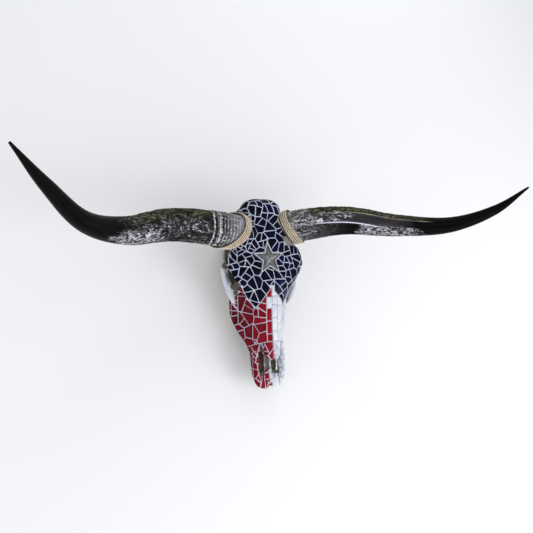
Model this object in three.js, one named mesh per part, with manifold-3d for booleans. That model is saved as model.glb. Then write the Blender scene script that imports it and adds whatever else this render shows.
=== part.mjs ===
// A longhorn skull without its lower jaw, lying face up on its cheek teeth and jugular processes.
// The face is covered with a mosaic of glass pieces in grout: a navy field over the forehead, red on the
// animal's right and white on its left, with a cast metal star between the orbits. A rope is wound
// round the root of each horn.
// Millimetres. +Z is up, +Y runs from the nose to the poll, +X is the animal's left.
import * as THREE from 'three';
import { mergeVertices } from 'three/addons/utils/BufferGeometryUtils.js';
import { MeshSurfaceSampler } from 'three/addons/math/MeshSurfaceSampler.js';
import Module from 'manifold-3d';

const wasm = await Module();
wasm.setup();

// Clearances and layers
const GAP = 0.3; // between pieces that touch
const GROUT_LEVEL = 2.4; // grout surface above the bone
const TILE_PROUD = 1.5; // glass surface above the grout
const GROUT_WIDTH = 5; // joint between two tiles
const TILE_ROOT = 3; // how far a tile is sunk
const DROP = 14; // how far above a tile its corners are looked for
const TILE_SPACING = { navy: 42, red: 44, white: 44 };
const TILE_REACH = 0.95; // half a tile's largest width, as a share of its spacing
const TILE_THROWS = 9000; // points thrown at the surface to fill it with places

// Horn roots: the bone ends, and the horn begins, on a slanting plane through each root
const ROOT_NORMAL = { left: [0.65, 0.23, 0.72], right: [-0.73, 0.24, 0.64] };
const ROOT_DISTANCE = { left: 194, right: 199 };

// Rope wound round each root
const ROPE_RADIUS = 3.1;
const ROPE_LIFT = 1.2; // room under the rope for the flats of its facets
const ROPE_CLEAR = 2; // and around it in the bone
const ROPE_TURNS = 4;

// The navy field ends at this height on the skull's sides, over the orbits
const NAVY_LOW = 134;

// Star
const STAR_RADIUS = 50;
const STAR_INNER = 21;
const STAR_CENTRE = new THREE.Vector3(-2, 8, 174);
const STAR_RISE = 13;
const STAR_TILT = 0.13; // with the slope of the forehead

const SIDES = { left: 1, right: -1 };

// Small helpers for solids

// A closed three.js geometry as a solid, turned right side out.
function solid(geometry) {
  geometry.deleteAttribute('normal');
  geometry.deleteAttribute('uv');
  const merged = mergeVertices(geometry, 1e-4);
  const vertProperties = new Float32Array(merged.attributes.position.array);
  const index = merged.index.array;
  const kept = [];
  let volume = 0;
  const [a, b, c] = [new THREE.Vector3(), new THREE.Vector3(), new THREE.Vector3()];
  for (let i = 0; i < index.length; i += 3) {
    const [p, q, r] = [index[i], index[i + 1], index[i + 2]];
    if (p === q || q === r || p === r) continue;
    kept.push(p, q, r);
    a.fromArray(vertProperties, 3 * p);
    b.fromArray(vertProperties, 3 * q);
    c.fromArray(vertProperties, 3 * r);
    volume += a.dot(b.cross(c));
  }
  if (volume < 0) kept.reverse();
  return new wasm.Manifold(new wasm.Mesh({ numProp: 3, vertProperties, triVerts: new Uint32Array(kept) }));
}

function union(pieces) {
  return pieces.reduce((sum, piece) => sum.add(piece));
}

// The largest body of a solid, without the loose scraps that a cut can leave.
function largest(manifold) {
  const bodies = manifold.decompose();
  bodies.sort((one, other) => other.volume() - one.volume());
  return bodies[0];
}

function geometryOf(manifold) {
  const mesh = manifold.getMesh();
  const positions = new Float32Array(mesh.numVert * 3);
  for (let i = 0; i < mesh.numVert; i++) {
    for (let k = 0; k < 3; k++) positions[3 * i + k] = mesh.vertProperties[mesh.numProp * i + k];
  }
  const geometry = new THREE.BufferGeometry();
  geometry.setAttribute('position', new THREE.BufferAttribute(positions, 3));
  geometry.setIndex(new THREE.BufferAttribute(new Uint32Array(mesh.triVerts), 1));
  return geometry;
}

// A smooth value between the stations of a list, by cubic Hermite pieces.
function between(places, values, place) {
  const last = places.length - 1;
  if (place <= places[0]) return values[0];
  if (place >= places[last]) return values[last];
  let i = 0;
  while (place > places[i + 1]) i++;
  const slope = (k) => {
    const low = Math.max(k - 1, 0);
    const high = Math.min(k + 1, last);
    return (values[high] - values[low]) / (places[high] - places[low]);
  };
  const span = places[i + 1] - places[i];
  const t = (place - places[i]) / span;
  const [t2, t3] = [t * t, t * t * t];
  return (2 * t3 - 3 * t2 + 1) * values[i] + (t3 - 2 * t2 + t) * span * slope(i)
    + (3 * t2 - 2 * t3) * values[i + 1] + (t3 - t2) * span * slope(i + 1);
}

// A closed skin over rings: place(along, around) gives a point, along from 0 to 1 and around from 0 to 1.
// The two poles of a sphere become the middles of the two end caps.
function skinOver(place, rings, around) {
  const geometry = new THREE.SphereGeometry(1, around, rings + 1);
  const uv = geometry.attributes.uv;
  const position = geometry.attributes.position;
  for (let i = 0; i < position.count; i++) {
    const row = Math.round((1 - uv.getY(i)) * (rings + 1));
    let point;
    if (row === 0 || row === rings + 1) {
      const along = row === 0 ? 0 : 1;
      point = place(along, 0).add(place(along, 0.5)).multiplyScalar(0.5);
    } else {
      const turn = (Math.round(uv.getX(i) * around) % around) / around;
      point = place((row - 1) / (rings - 1), turn);
    }
    position.setXYZ(i, point.x, point.y, point.z);
  }
  return solid(geometry);
}

// A smooth curve through some points, closed on itself or open.
function smoothLine(points, closed = false) {
  return new THREE.CatmullRomCurve3(points.map((p) => new THREE.Vector3(...p)), closed, 'centripetal');
}

// A round or flat limb along a smooth line. sizes are [half width, half height] at even stations.
function limb(points, sizes, { grow = 0, rings = 10, around = 10, blunt = 0.12, up = [0, 0, 1] } = {}) {
  const line = smoothLine(points);
  const stations = sizes.map((_, i) => i / (sizes.length - 1));
  const upward = new THREE.Vector3(...up);
  return skinOver((along, turn) => {
    // The ends are rounded: the outermost rings shrink and reach out by the growth.
    const fromEnd = Math.min(along, 1 - along);
    const round = fromEnd < blunt ? Math.sqrt(1 - (1 - fromEnd / blunt) ** 2 * 0.75) : 1;
    const centre = line.getPoint(along);
    const forward = line.getTangent(along);
    const across = new THREE.Vector3().crossVectors(forward, upward).normalize();
    const over = new THREE.Vector3().crossVectors(across, forward).normalize();
    const half = [0, 1].map((k) => between(stations, sizes.map((s) => s[k]), along) * round + grow);
    const angle = 2 * Math.PI * turn;
    if (along === 0) centre.addScaledVector(forward, -grow);
    if (along === 1) centre.addScaledVector(forward, grow);
    centre.addScaledVector(across, half[0] * Math.cos(angle));
    return centre.addScaledVector(over, half[1] * Math.sin(angle));
  }, rings, around);
}

function ellipsoid(centre, radii, { grow = 0, turn = [0, 0, 0], detail = [14, 9] } = {}) {
  const geometry = new THREE.SphereGeometry(1, ...detail);
  geometry.scale(...radii.map((r) => r + grow));
  const matrix = new THREE.Matrix4().makeRotationFromEuler(new THREE.Euler(...turn));
  geometry.applyMatrix4(matrix.setPosition(...centre));
  return solid(geometry);
}

// The same piece on both sides of the skull.
function bothSides(make) {
  return [make(1), make(-1)];
}

// A box from its lowest to its highest corner.
function block(low, high) {
  const geometry = new THREE.BoxGeometry(...high.map((h, i) => h - low[i]));
  geometry.translate(...high.map((h, i) => (h + low[i]) / 2));
  return solid(geometry);
}

// All that lies beyond a plane, as a large block standing on it.
function beyond(normal, distance) {
  const size = 2000;
  const geometry = new THREE.BoxGeometry(size, size, size);
  geometry.translate(0, 0, size / 2);
  const turn = new THREE.Quaternion().setFromUnitVectors(new THREE.Vector3(0, 0, 1), normal);
  geometry.applyQuaternion(turn);
  geometry.translate(normal.x * distance, normal.y * distance, normal.z * distance);
  return solid(geometry);
}

// A flat outline in plan, stood up between two heights.
function column(outline, low, high) {
  const shape = new THREE.Shape(outline.map(([x, y]) => new THREE.Vector2(x, y)));
  const geometry = new THREE.ExtrudeGeometry(shape, { depth: high - low, bevelEnabled: false });
  geometry.translate(0, 0, low);
  return solid(geometry);
}

// Horns

// Each horn's middle line, from inside the frontal bone to the tip, and its radius there.
const HORN_LINES = {
  right: [
    [-32, 88, 158], [-92, 91, 177], [-277, 98, 204], [-415, 55, 273],
    [-519, 40, 361], [-601, 68, 473], [-661, 93, 574],
  ],
  left: [
    [38, 102, 152], [98, 110, 164], [263, 115, 208], [411, 77, 267],
    [526, 39, 372], [607, 47, 472], [655, 80, 559],
  ],
};
const HORN_RADII = [26, 47, 43.5, 34, 23.1, 13.6, 2.5];
const HORN_STATIONS = HORN_RADII.map((_, i) => i / (HORN_RADII.length - 1));

// Shares of the line's length, from its start in the bone
const CORE_END = 0.24;
const ROOT_END = 0.35;
const CORE_SUNK = 0.4; // the core's surface lies a little inside the horn's

function hornLine(side) {
  return smoothLine(HORN_LINES[side]);
}

// A point on the horn's surface, or off it by grow, and the direction that the surface faces there.
function hornPoint(line, along, turn, grow = 0) {
  const centre = line.getPoint(along);
  const forward = line.getTangent(along);
  const across = new THREE.Vector3().crossVectors(forward, new THREE.Vector3(0, 1, 0)).normalize();
  const over = new THREE.Vector3().crossVectors(across, forward).normalize();
  const radius = between(HORN_STATIONS, HORN_RADII, along) + grow;
  const angle = 2 * Math.PI * turn;
  const outward = across.multiplyScalar(Math.cos(angle)).addScaledVector(over, Math.sin(angle));
  return { point: centre.addScaledVector(outward, radius), outward };
}

function rootNormal(side) {
  return new THREE.Vector3(...ROOT_NORMAL[side]).normalize();
}

function horn(side) {
  const line = hornLine(side);
  const tube = skinOver((along, turn) => hornPoint(line, along, turn).point, 22, 12);
  return tube.intersect(beyond(rootNormal(side), ROOT_DISTANCE[side] + GAP / 2));
}

// The bony core's visible stub, which carries the horn's outline on into the frontal bone.
function hornCore(side, grow) {
  const line = hornLine(side);
  return skinOver((along, turn) => hornPoint(line, CORE_END * along, turn, grow - CORE_SUNK).point, 4, 12);
}

// Rope

// Where the line along the horn at this turn crosses the plane at this distance.
function rootCrossing(side, line, turn, distance, grow) {
  const normal = rootNormal(side);
  const halvings = 30;
  let [low, high] = [0, 0.4];
  for (let i = 0; i < halvings; i++) {
    const middle = (low + high) / 2;
    if (hornPoint(line, middle, turn, grow).point.dot(normal) < distance) low = middle;
    else high = middle;
  }
  return hornPoint(line, low, turn, grow);
}

// One rope wound side by side with itself, off the end of the bone and outwards along the horn.
function rope(side) {
  const line = hornLine(side);
  const normal = rootNormal(side);
  const pitch = 2 * ROPE_RADIUS + GAP;
  const first = ROOT_DISTANCE[side] + ROPE_RADIUS + GAP;
  const steps = 17 * ROPE_TURNS;
  const start = side === 'left' ? 0.5 : 0;
  const lift = ROPE_RADIUS + ROPE_LIFT;
  const points = [];
  for (let i = 0; i <= steps; i++) {
    const wound = (ROPE_TURNS * i) / steps;
    const turn = start + wound;
    const onPlane = rootCrossing(side, line, turn, first, lift);
    // A slanting plane cuts the surface at an angle, so its turns are set by their distance
    // along the surface.
    const slant = Math.sqrt(1 - onPlane.outward.dot(normal) ** 2);
    points.push(rootCrossing(side, line, turn, first + wound * pitch * slant, lift).point);
  }
  const section = new THREE.Shape();
  section.absarc(0, 0, ROPE_RADIUS, 0, 2 * Math.PI);
  const path = new THREE.CatmullRomCurve3(points);
  return solid(new THREE.ExtrudeGeometry(section, {
    steps, curveSegments: 3, bevelEnabled: false, extrudePath: path,
  }));
}

// Bone

// Half outlines of the skull across its length, from the middle of the roof to the middle of the palate.
const STATIONS = [
  { y: -236, crown: 109, roof: [18, 106], flank: [34, 88], cheek: [45, 60], gum: [41, 45], palate: 45 },
  { y: -200, crown: 119, roof: [22, 115], flank: [37, 94], cheek: [57, 54], gum: [48, 38], palate: 42 },
  { y: -165, crown: 128, roof: [26, 124], flank: [41, 101], cheek: [75, 49], gum: [60, 29], palate: 40 },
  { y: -128, crown: 141, roof: [30, 137], flank: [47, 113], cheek: [86, 50], gum: [65, 23], palate: 40 },
  { y: -88, crown: 156, roof: [38, 151], flank: [59, 129], cheek: [87, 65], gum: [65, 23], palate: 42 },
  { y: -48, crown: 167, roof: [60, 162], flank: [91, 142], cheek: [88, 80], gum: [60, 30], palate: 44 },
  { y: -6, crown: 175, roof: [80, 170], flank: [117, 152], cheek: [84, 90], gum: [50, 46], palate: 48 },
  { y: 30, crown: 180, roof: [80, 174], flank: [115, 155], cheek: [82, 98], gum: [50, 54], palate: 48 },
  { y: 70, crown: 187, roof: [66, 182], flank: [99, 154], cheek: [76, 98], gum: [52, 58], palate: 44 },
  { y: 115, crown: 194, roof: [56, 188], flank: [86, 148], cheek: [80, 98], gum: [50, 58], palate: 42 },
  { y: 150, crown: 192, roof: [52, 182], flank: [80, 138], cheek: [80, 94], gum: [48, 60], palate: 46 },
];
// The back of the skull leans: its upper edge lies further back than its lower edge.
const NAPE_LEAN = 0.16;

function outlineAt(y) {
  const ys = STATIONS.map((s) => s.y);
  const at = (pick) => between(ys, STATIONS.map(pick), y);
  const half = [[0, at((s) => s.crown)]];
  for (const name of ['roof', 'flank', 'cheek', 'gum']) {
    half.push([at((s) => s[name][0]), at((s) => s[name][1])]);
  }
  half.push([0, at((s) => s.palate)]);
  const other = half.slice(1, -1).reverse().map(([x, z]) => [-x, z]);
  return smoothLine([...half, ...other].map(([x, z]) => [x, 0, z]), true);
}

function mainForm(grow) {
  const rings = 18;
  const first = STATIONS[0].y;
  const last = STATIONS[STATIONS.length - 1].y;
  const outlines = new Map();
  return skinOver((along, turn) => {
    const y = first + (last - first) * along;
    if (!outlines.has(along)) outlines.set(along, outlineAt(y));
    const outline = outlines.get(along);
    const point = outline.getPoint(turn);
    const tangent = outline.getTangent(turn);
    const back = Math.max(0, (y - 75) / (last - 75));
    const outward = new THREE.Vector3(-tangent.z, 0, tangent.x);
    if (outward.dot(new THREE.Vector3(point.x, 0, point.z - 100)) < 0) outward.negate();
    point.addScaledVector(outward, grow);
    point.y = y + (along === 0 ? -grow : 0) + (along === 1 ? grow : 0) + back * NAPE_LEAN * (point.z - 110);
    return point;
  }, rings, 18);
}

// The poll: the swelling between and behind the horns, with a shallow dip in the middle.
function poll(grow) {
  return limb([[-58, 140, 166], [-28, 152, 176], [0, 156, 176], [28, 152, 176], [54, 144, 168]],
    [[24, 21], [32, 26], [31, 24], [32, 26], [22, 19]], { grow, rings: 9, around: 12, blunt: 0.16 });
}

// The bony ring round each eye, standing across the skull. It opens outwards, a little forwards and up.
function orbitRim(side, grow) {
  const geometry = new THREE.TorusGeometry(35, 7.5 + grow, 6, 16);
  const outward = new THREE.Vector3(side, -0.26, 0.12).normalize();
  const back = new THREE.Vector3(side * 0.26, 1, 0).normalize();
  const upward = new THREE.Vector3().crossVectors(outward, back).multiplyScalar(side);
  const stand = new THREE.Matrix4().makeBasis(back, upward, outward);
  geometry.applyMatrix4(stand.setPosition(side * 100, -20, 118));
  return solid(geometry);
}

// The cup of bone round the eye's hollow.
function orbitCup(side, grow) {
  return ellipsoid([side * 76, -18, 114], [33, 44, 40], { grow, turn: [0, 0, -side * 0.2], detail: [10, 5] });
}

function orbitHollow(side) {
  return ellipsoid([side * 112, -22, 118], [50, 30, 28], {
    turn: [0, side * 0.06, -side * 0.2], detail: [10, 5],
  });
}

// The cheekbones: under each eye, from the upper jaw back to the temple. The left one stands out further.
const CHEEKBONES = {
  left: [[86, -104, 78], [109, -72, 80], [119, -48, 86], [111, -10, 88], [101, 40, 84], [84, 88, 80]],
  right: [[-78, -102, 74], [-94, -64, 82], [-103, -30, 84], [-105, 4, 88], [-95, 40, 84], [-80, 88, 80]],
};

function zygomaticArch(side, grow) {
  const line = side > 0 ? CHEEKBONES.left : CHEEKBONES.right;
  return limb(line, [[5, 9], [8, 12], [7, 12], [6, 12], [6, 11], [8, 12]], { grow, rings: 9, around: 8 });
}

// The bar that closes the eye's ring behind, from the frontal bone's edge down to the cheekbone.
function postorbitalBar(side, grow) {
  return limb(
    [[side * 102, 28, 150], [side * 103, 22, 126], [side * 100, 18, 92]],
    [[8, 14], [6, 9], [6, 10]],
    { grow, rings: 5, around: 8, up: [0, 1, 0] },
  );
}

// The temple behind the eye is hollowed under the frontal bone's edge.
function templeHollow(side) {
  return ellipsoid([side * 110, 58, 120], [38, 27, 21], { turn: [0, 0, -side * 0.2], detail: [10, 5] });
}

// Nasal bones: a narrow roof that reaches out over the open nose and ends in two points.
function nasalBone(side, grow) {
  const body = limb(
    [[side * 11, -190, 112], [side * 11.5, -225, 107], [side * 10, -250, 105], [side * 7, -266, 103.5]],
    [[12, 7], [11.5, 6.2], [9, 5.2], [2.6, 3]],
    { grow, rings: 6, around: 6, blunt: 0.06 },
  );
  const outerPoint = limb(
    [[side * 17, -205, 108], [side * 19, -232, 102.5], [side * 18, -251, 101]],
    [[7, 6], [6, 5], [2.4, 3]],
    { grow, rings: 4, around: 6, blunt: 0.08 },
  );
  return body.add(outerPoint);
}

// Premaxilla: an arm along the side of the nose that bends in to a flat plate, and a thin inner strip.
function premaxilla(side, grow) {
  const arm = limb(
    [[side * 35, -196, 84], [side * 40.5, -232, 74], [side * 42, -268, 65],
      [side * 39, -303, 58], [side * 27, -324, 54], [side * 5, -331, 54]],
    [[10, 14], [8.5, 16], [7.5, 14], [8.5, 9], [12, 6.5], [11, 6]],
    { grow, rings: 9, around: 6 },
  );
  const plate = ellipsoid([side * 20, -312, 53], [21, 22, 7], { grow, detail: [8, 4] });
  const strip = limb(
    [[side * 4.5, -318, 53], [side * 4.5, -285, 53], [side * 5, -236, 57]],
    [[5.4, 5], [5.2, 4.6], [6, 6]],
    { grow, rings: 4, around: 6 },
  );
  return union([arm, plate, strip]);
}

// The thin floor of the nose, seen through the slots between the strips and the arms.
function noseFloor(grow) {
  return ellipsoid([0, -262, 46], [37, 62, 4.5], { grow, turn: [0.03, 0, 0], detail: [10, 5] });
}

// The open nose, under the nasal bones and between the arms of the premaxilla.
function noseHollow() {
  const tunnel = limb(
    [[0, -300, 76], [0, -262, 79], [0, -225, 80], [0, -170, 84], [0, -120, 90]],
    [[27, 26], [27, 22], [25, 21], [21, 21], [16, 18]],
    { rings: 7, around: 10, blunt: 0.1 },
  );
  const notches = bothSides((s) => limb(
    [[s * 25, -262, 88], [s * 29, -240, 93], [s * 31, -212, 101]],
    [[9, 12], [8, 10], [3, 4]],
    { rings: 5, around: 8, blunt: 0.2 },
  ));
  return union([tunnel, ...notches]);
}

// The wall between the two sides of the nose, set back from its opening.
function noseWall() {
  return limb(
    [[0, -232, 62], [0, -180, 70], [0, -110, 84]],
    [[2.2, 18], [2.6, 26], [3, 24]],
    { rings: 5, around: 8, blunt: 0.2 },
  );
}

function palateHollow() {
  return ellipsoid([0, -110, 20], [37, 120, 25], { turn: [-0.02, 0, 0], detail: [10, 6] });
}

// Cheek teeth, largest at the back: [length, width] of each from the last molar forwards.
const TOOTH_SIZES = [[27, 22], [26, 23], [23, 23], [18, 20], [17, 18], [15, 16]];
const TOOTH_ROW_BACK = -22;
const TOOTH_GAP = 0.6;

function toothRow(side) {
  const teeth = [];
  let back = TOOTH_ROW_BACK;
  TOOTH_SIZES.forEach(([length, width], i) => {
    const geometry = new THREE.CylinderGeometry(0.56, 0.48, 44, 6, 1);
    geometry.rotateX(Math.PI / 2);
    geometry.scale(width, length, 1);
    geometry.rotateZ(side * -0.1);
    geometry.translate(side * (54 - i * 1.4), back - length / 2, 22);
    teeth.push(solid(geometry));
    back -= length + TOOTH_GAP;
  });
  return union(teeth);
}

// The underside behind the palate: the base of the braincase, condyles, bullae, jugular and other processes.
function skullBase() {
  const basilar = limb(
    [[0, 146, 50], [0, 100, 46], [0, 40, 54]],
    [[25, 14], [17, 13], [13, 12]],
    { rings: 5, around: 8 },
  );
  const crest = limb(
    [[0, 152, 92], [0, 162, 118], [0, 164, 142]],
    [[3, 8], [6, 9], [14, 8]],
    { rings: 4, around: 6, up: [0, 1, 0] },
  );
  const pairs = bothSides((s) => union([
    // the condyle, curved round the side of the opening
    limb(
      [[s * 9, 158, 43], [s * 25, 162, 48], [s * 31, 162, 64], [s * 24, 156, 80]],
      [[9, 10], [11, 14], [10, 13], [6, 9]],
      { rings: 5, around: 6, blunt: 0.2, up: [0, 1, 0] },
    ),
    // the jugular process, which the back of the skull rests on
    limb(
      [[s * 58, 122, 78], [s * 58, 120, 44], [s * 54, 114, 18], [s * 50, 110, -4]],
      [[16, 12], [13, 9], [10, 8], [7.5, 7]],
      { rings: 5, around: 8, blunt: 0, up: [0, 1, 0] },
    ),
    // the bulla, which holds the ear
    ellipsoid([s * 37, 88, 44], [12, 17, 19], { detail: [8, 5] }),
    // the joint that the lower jaw swings on
    limb(
      [[s * 50, 78, 84], [s * 56, 72, 62], [s * 62, 70, 54]],
      [[16, 16], [15, 12], [14, 7]],
      { rings: 4, around: 6 },
    ),
    // the thin wing behind the palate
    limb(
      [[s * 28, -14, 44], [s * 29, 8, 30], [s * 30, 26, 26]],
      [[3.5, 18], [3.2, 15], [3, 9]],
      { rings: 4, around: 6 },
    ),
  ]));
  return union([basilar, crest, ...pairs]);
}

// Shallow hollows for the neck muscles, on either side of the back's middle crest.
function napeHollow(side) {
  return ellipsoid([side * 38, 172, 112], [30, 16, 30], { detail: [10, 6] });
}

function nerveHole() {
  const geometry = new THREE.CylinderGeometry(15, 18, 60, 14);
  geometry.scale(1.1, 1, 0.9);
  geometry.rotateX(-0.35);
  geometry.translate(0, 158, 78);
  return solid(geometry);
}

// The outer forms of the bone, grown outwards by some distance. The mosaic lies on the same forms.
function outerForms(grow) {
  const pieces = [mainForm(grow), poll(grow)];
  for (const [name, side] of Object.entries(SIDES)) {
    pieces.push(hornCore(name, grow), nasalBone(side, grow), premaxilla(side, grow));
  }
  return union(pieces);
}

function hollows() {
  return union([
    noseHollow(), nerveHole(), palateHollow(),
    ...bothSides(orbitHollow), ...bothSides(templeHollow), ...bothSides(napeHollow),
  ]);
}

// Room for the end of each horn and the rope on it, beyond the root's plane.
function rootRoom(side, clear) {
  const line = hornLine(side);
  const grow = 2 * ROPE_RADIUS + ROPE_LIFT + ROPE_CLEAR + clear;
  const tube = skinOver((along, turn) => hornPoint(line, ROOT_END * along, turn, grow).point, 5, 14);
  return tube.intersect(beyond(rootNormal(side), ROOT_DISTANCE[side] - GAP / 2 - clear));
}

const rootRooms = (clear) => union(Object.keys(SIDES).map((side) => rootRoom(side, clear)));
const floorCut = block([-900, -900, -400], [900, 900, 0]);
const aboveOrbits = (shift) => block([-300, -300, NAVY_LOW - GAP - shift], [300, 300, 400]);
const holes = hollows();

// The bones that stand on the outer forms and that no mosaic covers.
function bareForms(grow) {
  const pieces = [noseFloor(grow)];
  for (const make of [orbitRim, zygomaticArch, postorbitalBar]) {
    pieces.push(...bothSides((side) => make(side, grow).subtract(aboveOrbits(-grow))));
  }
  return union(pieces);
}

function skull() {
  const shell = union([outerForms(0), ...bothSides((side) => orbitCup(side, 0))]).subtract(holes);
  const added = union([bareForms(0), skullBase(), noseWall(), ...bothSides(toothRow)]);
  return shell.add(added).subtract(nerveHole()).subtract(rootRooms(0)).subtract(floorCut);
}

// Star

// A ridged star: a ten-sided lathed disc whose every second edge is drawn in.
function starSolid(grow, rise) {
  const outer = STAR_RADIUS + grow;
  const profile = [[0, -30], [outer, -30], [outer, 3], [outer * 0.93, 5], [0, rise]];
  const geometry = new THREE.LatheGeometry(profile.map(([x, y]) => new THREE.Vector2(x, y)), 10);
  const position = geometry.attributes.position;
  for (let i = 0; i < position.count; i++) {
    const [x, z] = [position.getX(i), position.getZ(i)];
    const tenth = Math.round((Math.atan2(x, z) / (2 * Math.PI)) * 10);
    const draw = tenth % 2 === 0 ? 1 : (STAR_INNER + grow * 0.6) / STAR_RADIUS;
    position.setXYZ(i, x * draw, position.getY(i), z * draw);
  }
  geometry.rotateX(Math.PI / 2);
  geometry.rotateZ(Math.PI);
  geometry.rotateX(STAR_TILT);
  geometry.translate(STAR_CENTRE.x, STAR_CENTRE.y, STAR_CENTRE.z);
  return solid(geometry);
}

// Mosaic

// In plan, the lower edge of the navy field is a W: [across, along] from the middle outwards.
const FIELD_EDGE = [[0, -72], [43, -121], [84, -57], [96, -46], [118, -24]];
// From the side, the red and white fields end along this line above the gums: [along, height].
const SIDE_EDGE = [
  [-400, 51], [-262, 51], [-230, 46], [-190, 40], [-150, 38], [0, 38], [0, 300], [-400, 300],
];
// In plan, the part of their edge that runs out over the cheek, below the navy field.
const CHEEK_EDGE = [[104, -64], [114, -82]];

// How far the volumes that part the fields reach, well clear of the skull
const FAR_SIDE = 200;
const FAR_BACK = 260;
const FAR_FRONT = -400;
const FAR_UP = 400;
const NAVY_SIDE_START = -24;

function fieldVolumes() {
  const mirrored = (points, s) => points.map(([x, y]) => [s * x, y]);
  const edge = [...mirrored(FIELD_EDGE, -1).reverse(), ...FIELD_EDGE.slice(1)];
  const behind = [[FAR_SIDE, FAR_BACK], [-FAR_SIDE, FAR_BACK]];
  const upper = column(
    [[-FAR_SIDE, NAVY_SIDE_START], ...edge, [FAR_SIDE, NAVY_SIDE_START], ...behind],
    NAVY_LOW, FAR_UP,
  );
  const points = column([...edge.slice(2, -2), [84, 20], [-84, 20]], 100, FAR_UP);
  const navy = upper.add(points);
  const lower = edge.map(([x, y]) => [x, y - 1.5 * GAP]);
  const navyAndGap = column(
    [[-FAR_SIDE, NAVY_SIDE_START - GAP], ...lower, [FAR_SIDE, NAVY_SIDE_START - GAP], ...behind],
    -50, FAR_UP,
  );
  const sideShape = new THREE.Shape(SIDE_EDGE.map(([y, z]) => new THREE.Vector2(y, z)));
  const side = new THREE.ExtrudeGeometry(sideShape, { depth: 2 * FAR_SIDE, bevelEnabled: false });
  side.applyMatrix4(new THREE.Matrix4().makeBasis(
    new THREE.Vector3(0, 1, 0), new THREE.Vector3(0, 0, 1), new THREE.Vector3(1, 0, 0),
  ).setPosition(-FAR_SIDE, 0, 0));
  const aboveGums = solid(side);
  const half = (s) => {
    const outline = [
      [GAP / 2, -50], ...FIELD_EDGE.slice(2, 3), ...CHEEK_EDGE, [130, FAR_FRONT], [GAP / 2, FAR_FRONT],
    ];
    return column(mirrored(outline, s), 0, FAR_UP).intersect(aboveGums).subtract(navyAndGap);
  };
  return { navy, red: half(-1), white: half(1) };
}

// Upright walls along the lines where two fields meet, which no tile crosses.
function jointWalls() {
  const walls = [block([-GROUT_WIDTH / 2, FAR_FRONT, -10], [GROUT_WIDTH / 2, -66, FAR_UP])];
  for (const s of [1, -1]) {
    for (let i = 1; i < FIELD_EDGE.length; i++) {
      const [from, to] = [FIELD_EDGE[i - 1], FIELD_EDGE[i]].map(([x, y]) => new THREE.Vector2(s * x, y));
      const run = to.clone().sub(from);
      const wall = new THREE.BoxGeometry(run.length() + GROUT_WIDTH, GROUT_WIDTH, 410);
      wall.rotateZ(run.angle());
      wall.translate((from.x + to.x) / 2, (from.y + to.y) / 2, 195);
      walls.push(solid(wall));
    }
  }
  return union(walls);
}

// A repeatable stream of numbers from 0 to 1.
function dice(seed) {
  let state = seed;
  return () => {
    state = (state * 1664525 + 1013904223) % 4294967296;
    return state / 4294967296;
  };
}

function edgeAt(across) {
  const x = Math.abs(across);
  for (let i = 1; i < FIELD_EDGE.length; i++) {
    const [[x0, y0], [x1, y1]] = [FIELD_EDGE[i - 1], FIELD_EDGE[i]];
    if (x <= x1) return y0 + ((x - x0) / (x1 - x0)) * (y1 - y0);
  }
  return FIELD_EDGE[FIELD_EDGE.length - 1][1];
}

function fieldOf(point) {
  if (point.y > edgeAt(point.x)) return 'navy';
  return point.x < 0 ? 'red' : 'white';
}

// Places for the tiles: points thrown at the grout surface, kept where none lies too near.
function tilePlaces(surface) {
  const geometry = geometryOf(surface);
  geometry.computeVertexNormals();
  const sampler = new MeshSurfaceSampler(new THREE.Mesh(geometry));
  sampler.setRandomGenerator(dice(7));
  sampler.build();
  const places = [];
  const [point, facing] = [new THREE.Vector3(), new THREE.Vector3()];
  for (let i = 0; i < TILE_THROWS; i++) {
    sampler.sample(point, facing);
    const field = fieldOf(point);
    const spacing = TILE_SPACING[field];
    const near = places.some((p) => p.point.distanceTo(point) < Math.min(spacing, p.spacing));
    if (!near) places.push({ point: point.clone(), facing: facing.clone().normalize(), field, spacing });
  }
  return places;
}

// One flat piece of glass: the part of the plane at its place that is nearer to it than to any other place.
function tile(place, places, ground) {
  const { point, facing, spacing } = place;
  const right = new THREE.Vector3(0, 1, 0).cross(facing).normalize();
  const upward = new THREE.Vector3().crossVectors(facing, right);
  const reach = spacing * TILE_REACH;
  let outline = [[-1, -1], [1, -1], [1, 1], [-1, 1]].map(([x, y]) => new THREE.Vector2(x * reach, y * reach));
  for (const other of places) {
    const apart = other.point.clone().sub(point);
    if (other === place || apart.length() > 3 * spacing || other.facing.dot(facing) < 0.2) continue;
    const away = new THREE.Vector2(apart.dot(right), apart.dot(upward));
    const limit = (apart.length() / 2 - GROUT_WIDTH / 2) * (away.length() / apart.length());
    away.normalize();
    const clipped = [];
    outline.forEach((from, i) => {
      const to = outline[(i + 1) % outline.length];
      const [a, b] = [from.dot(away) - limit, to.dot(away) - limit];
      if (a <= 0) clipped.push(from);
      if (a * b < 0) clipped.push(from.clone().lerp(to, a / (a - b)));
    });
    outline = clipped;
    if (outline.length < 3) return null;
  }
  return raisedPlate(outline, { point, facing, right, upward }, ground);
}

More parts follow.
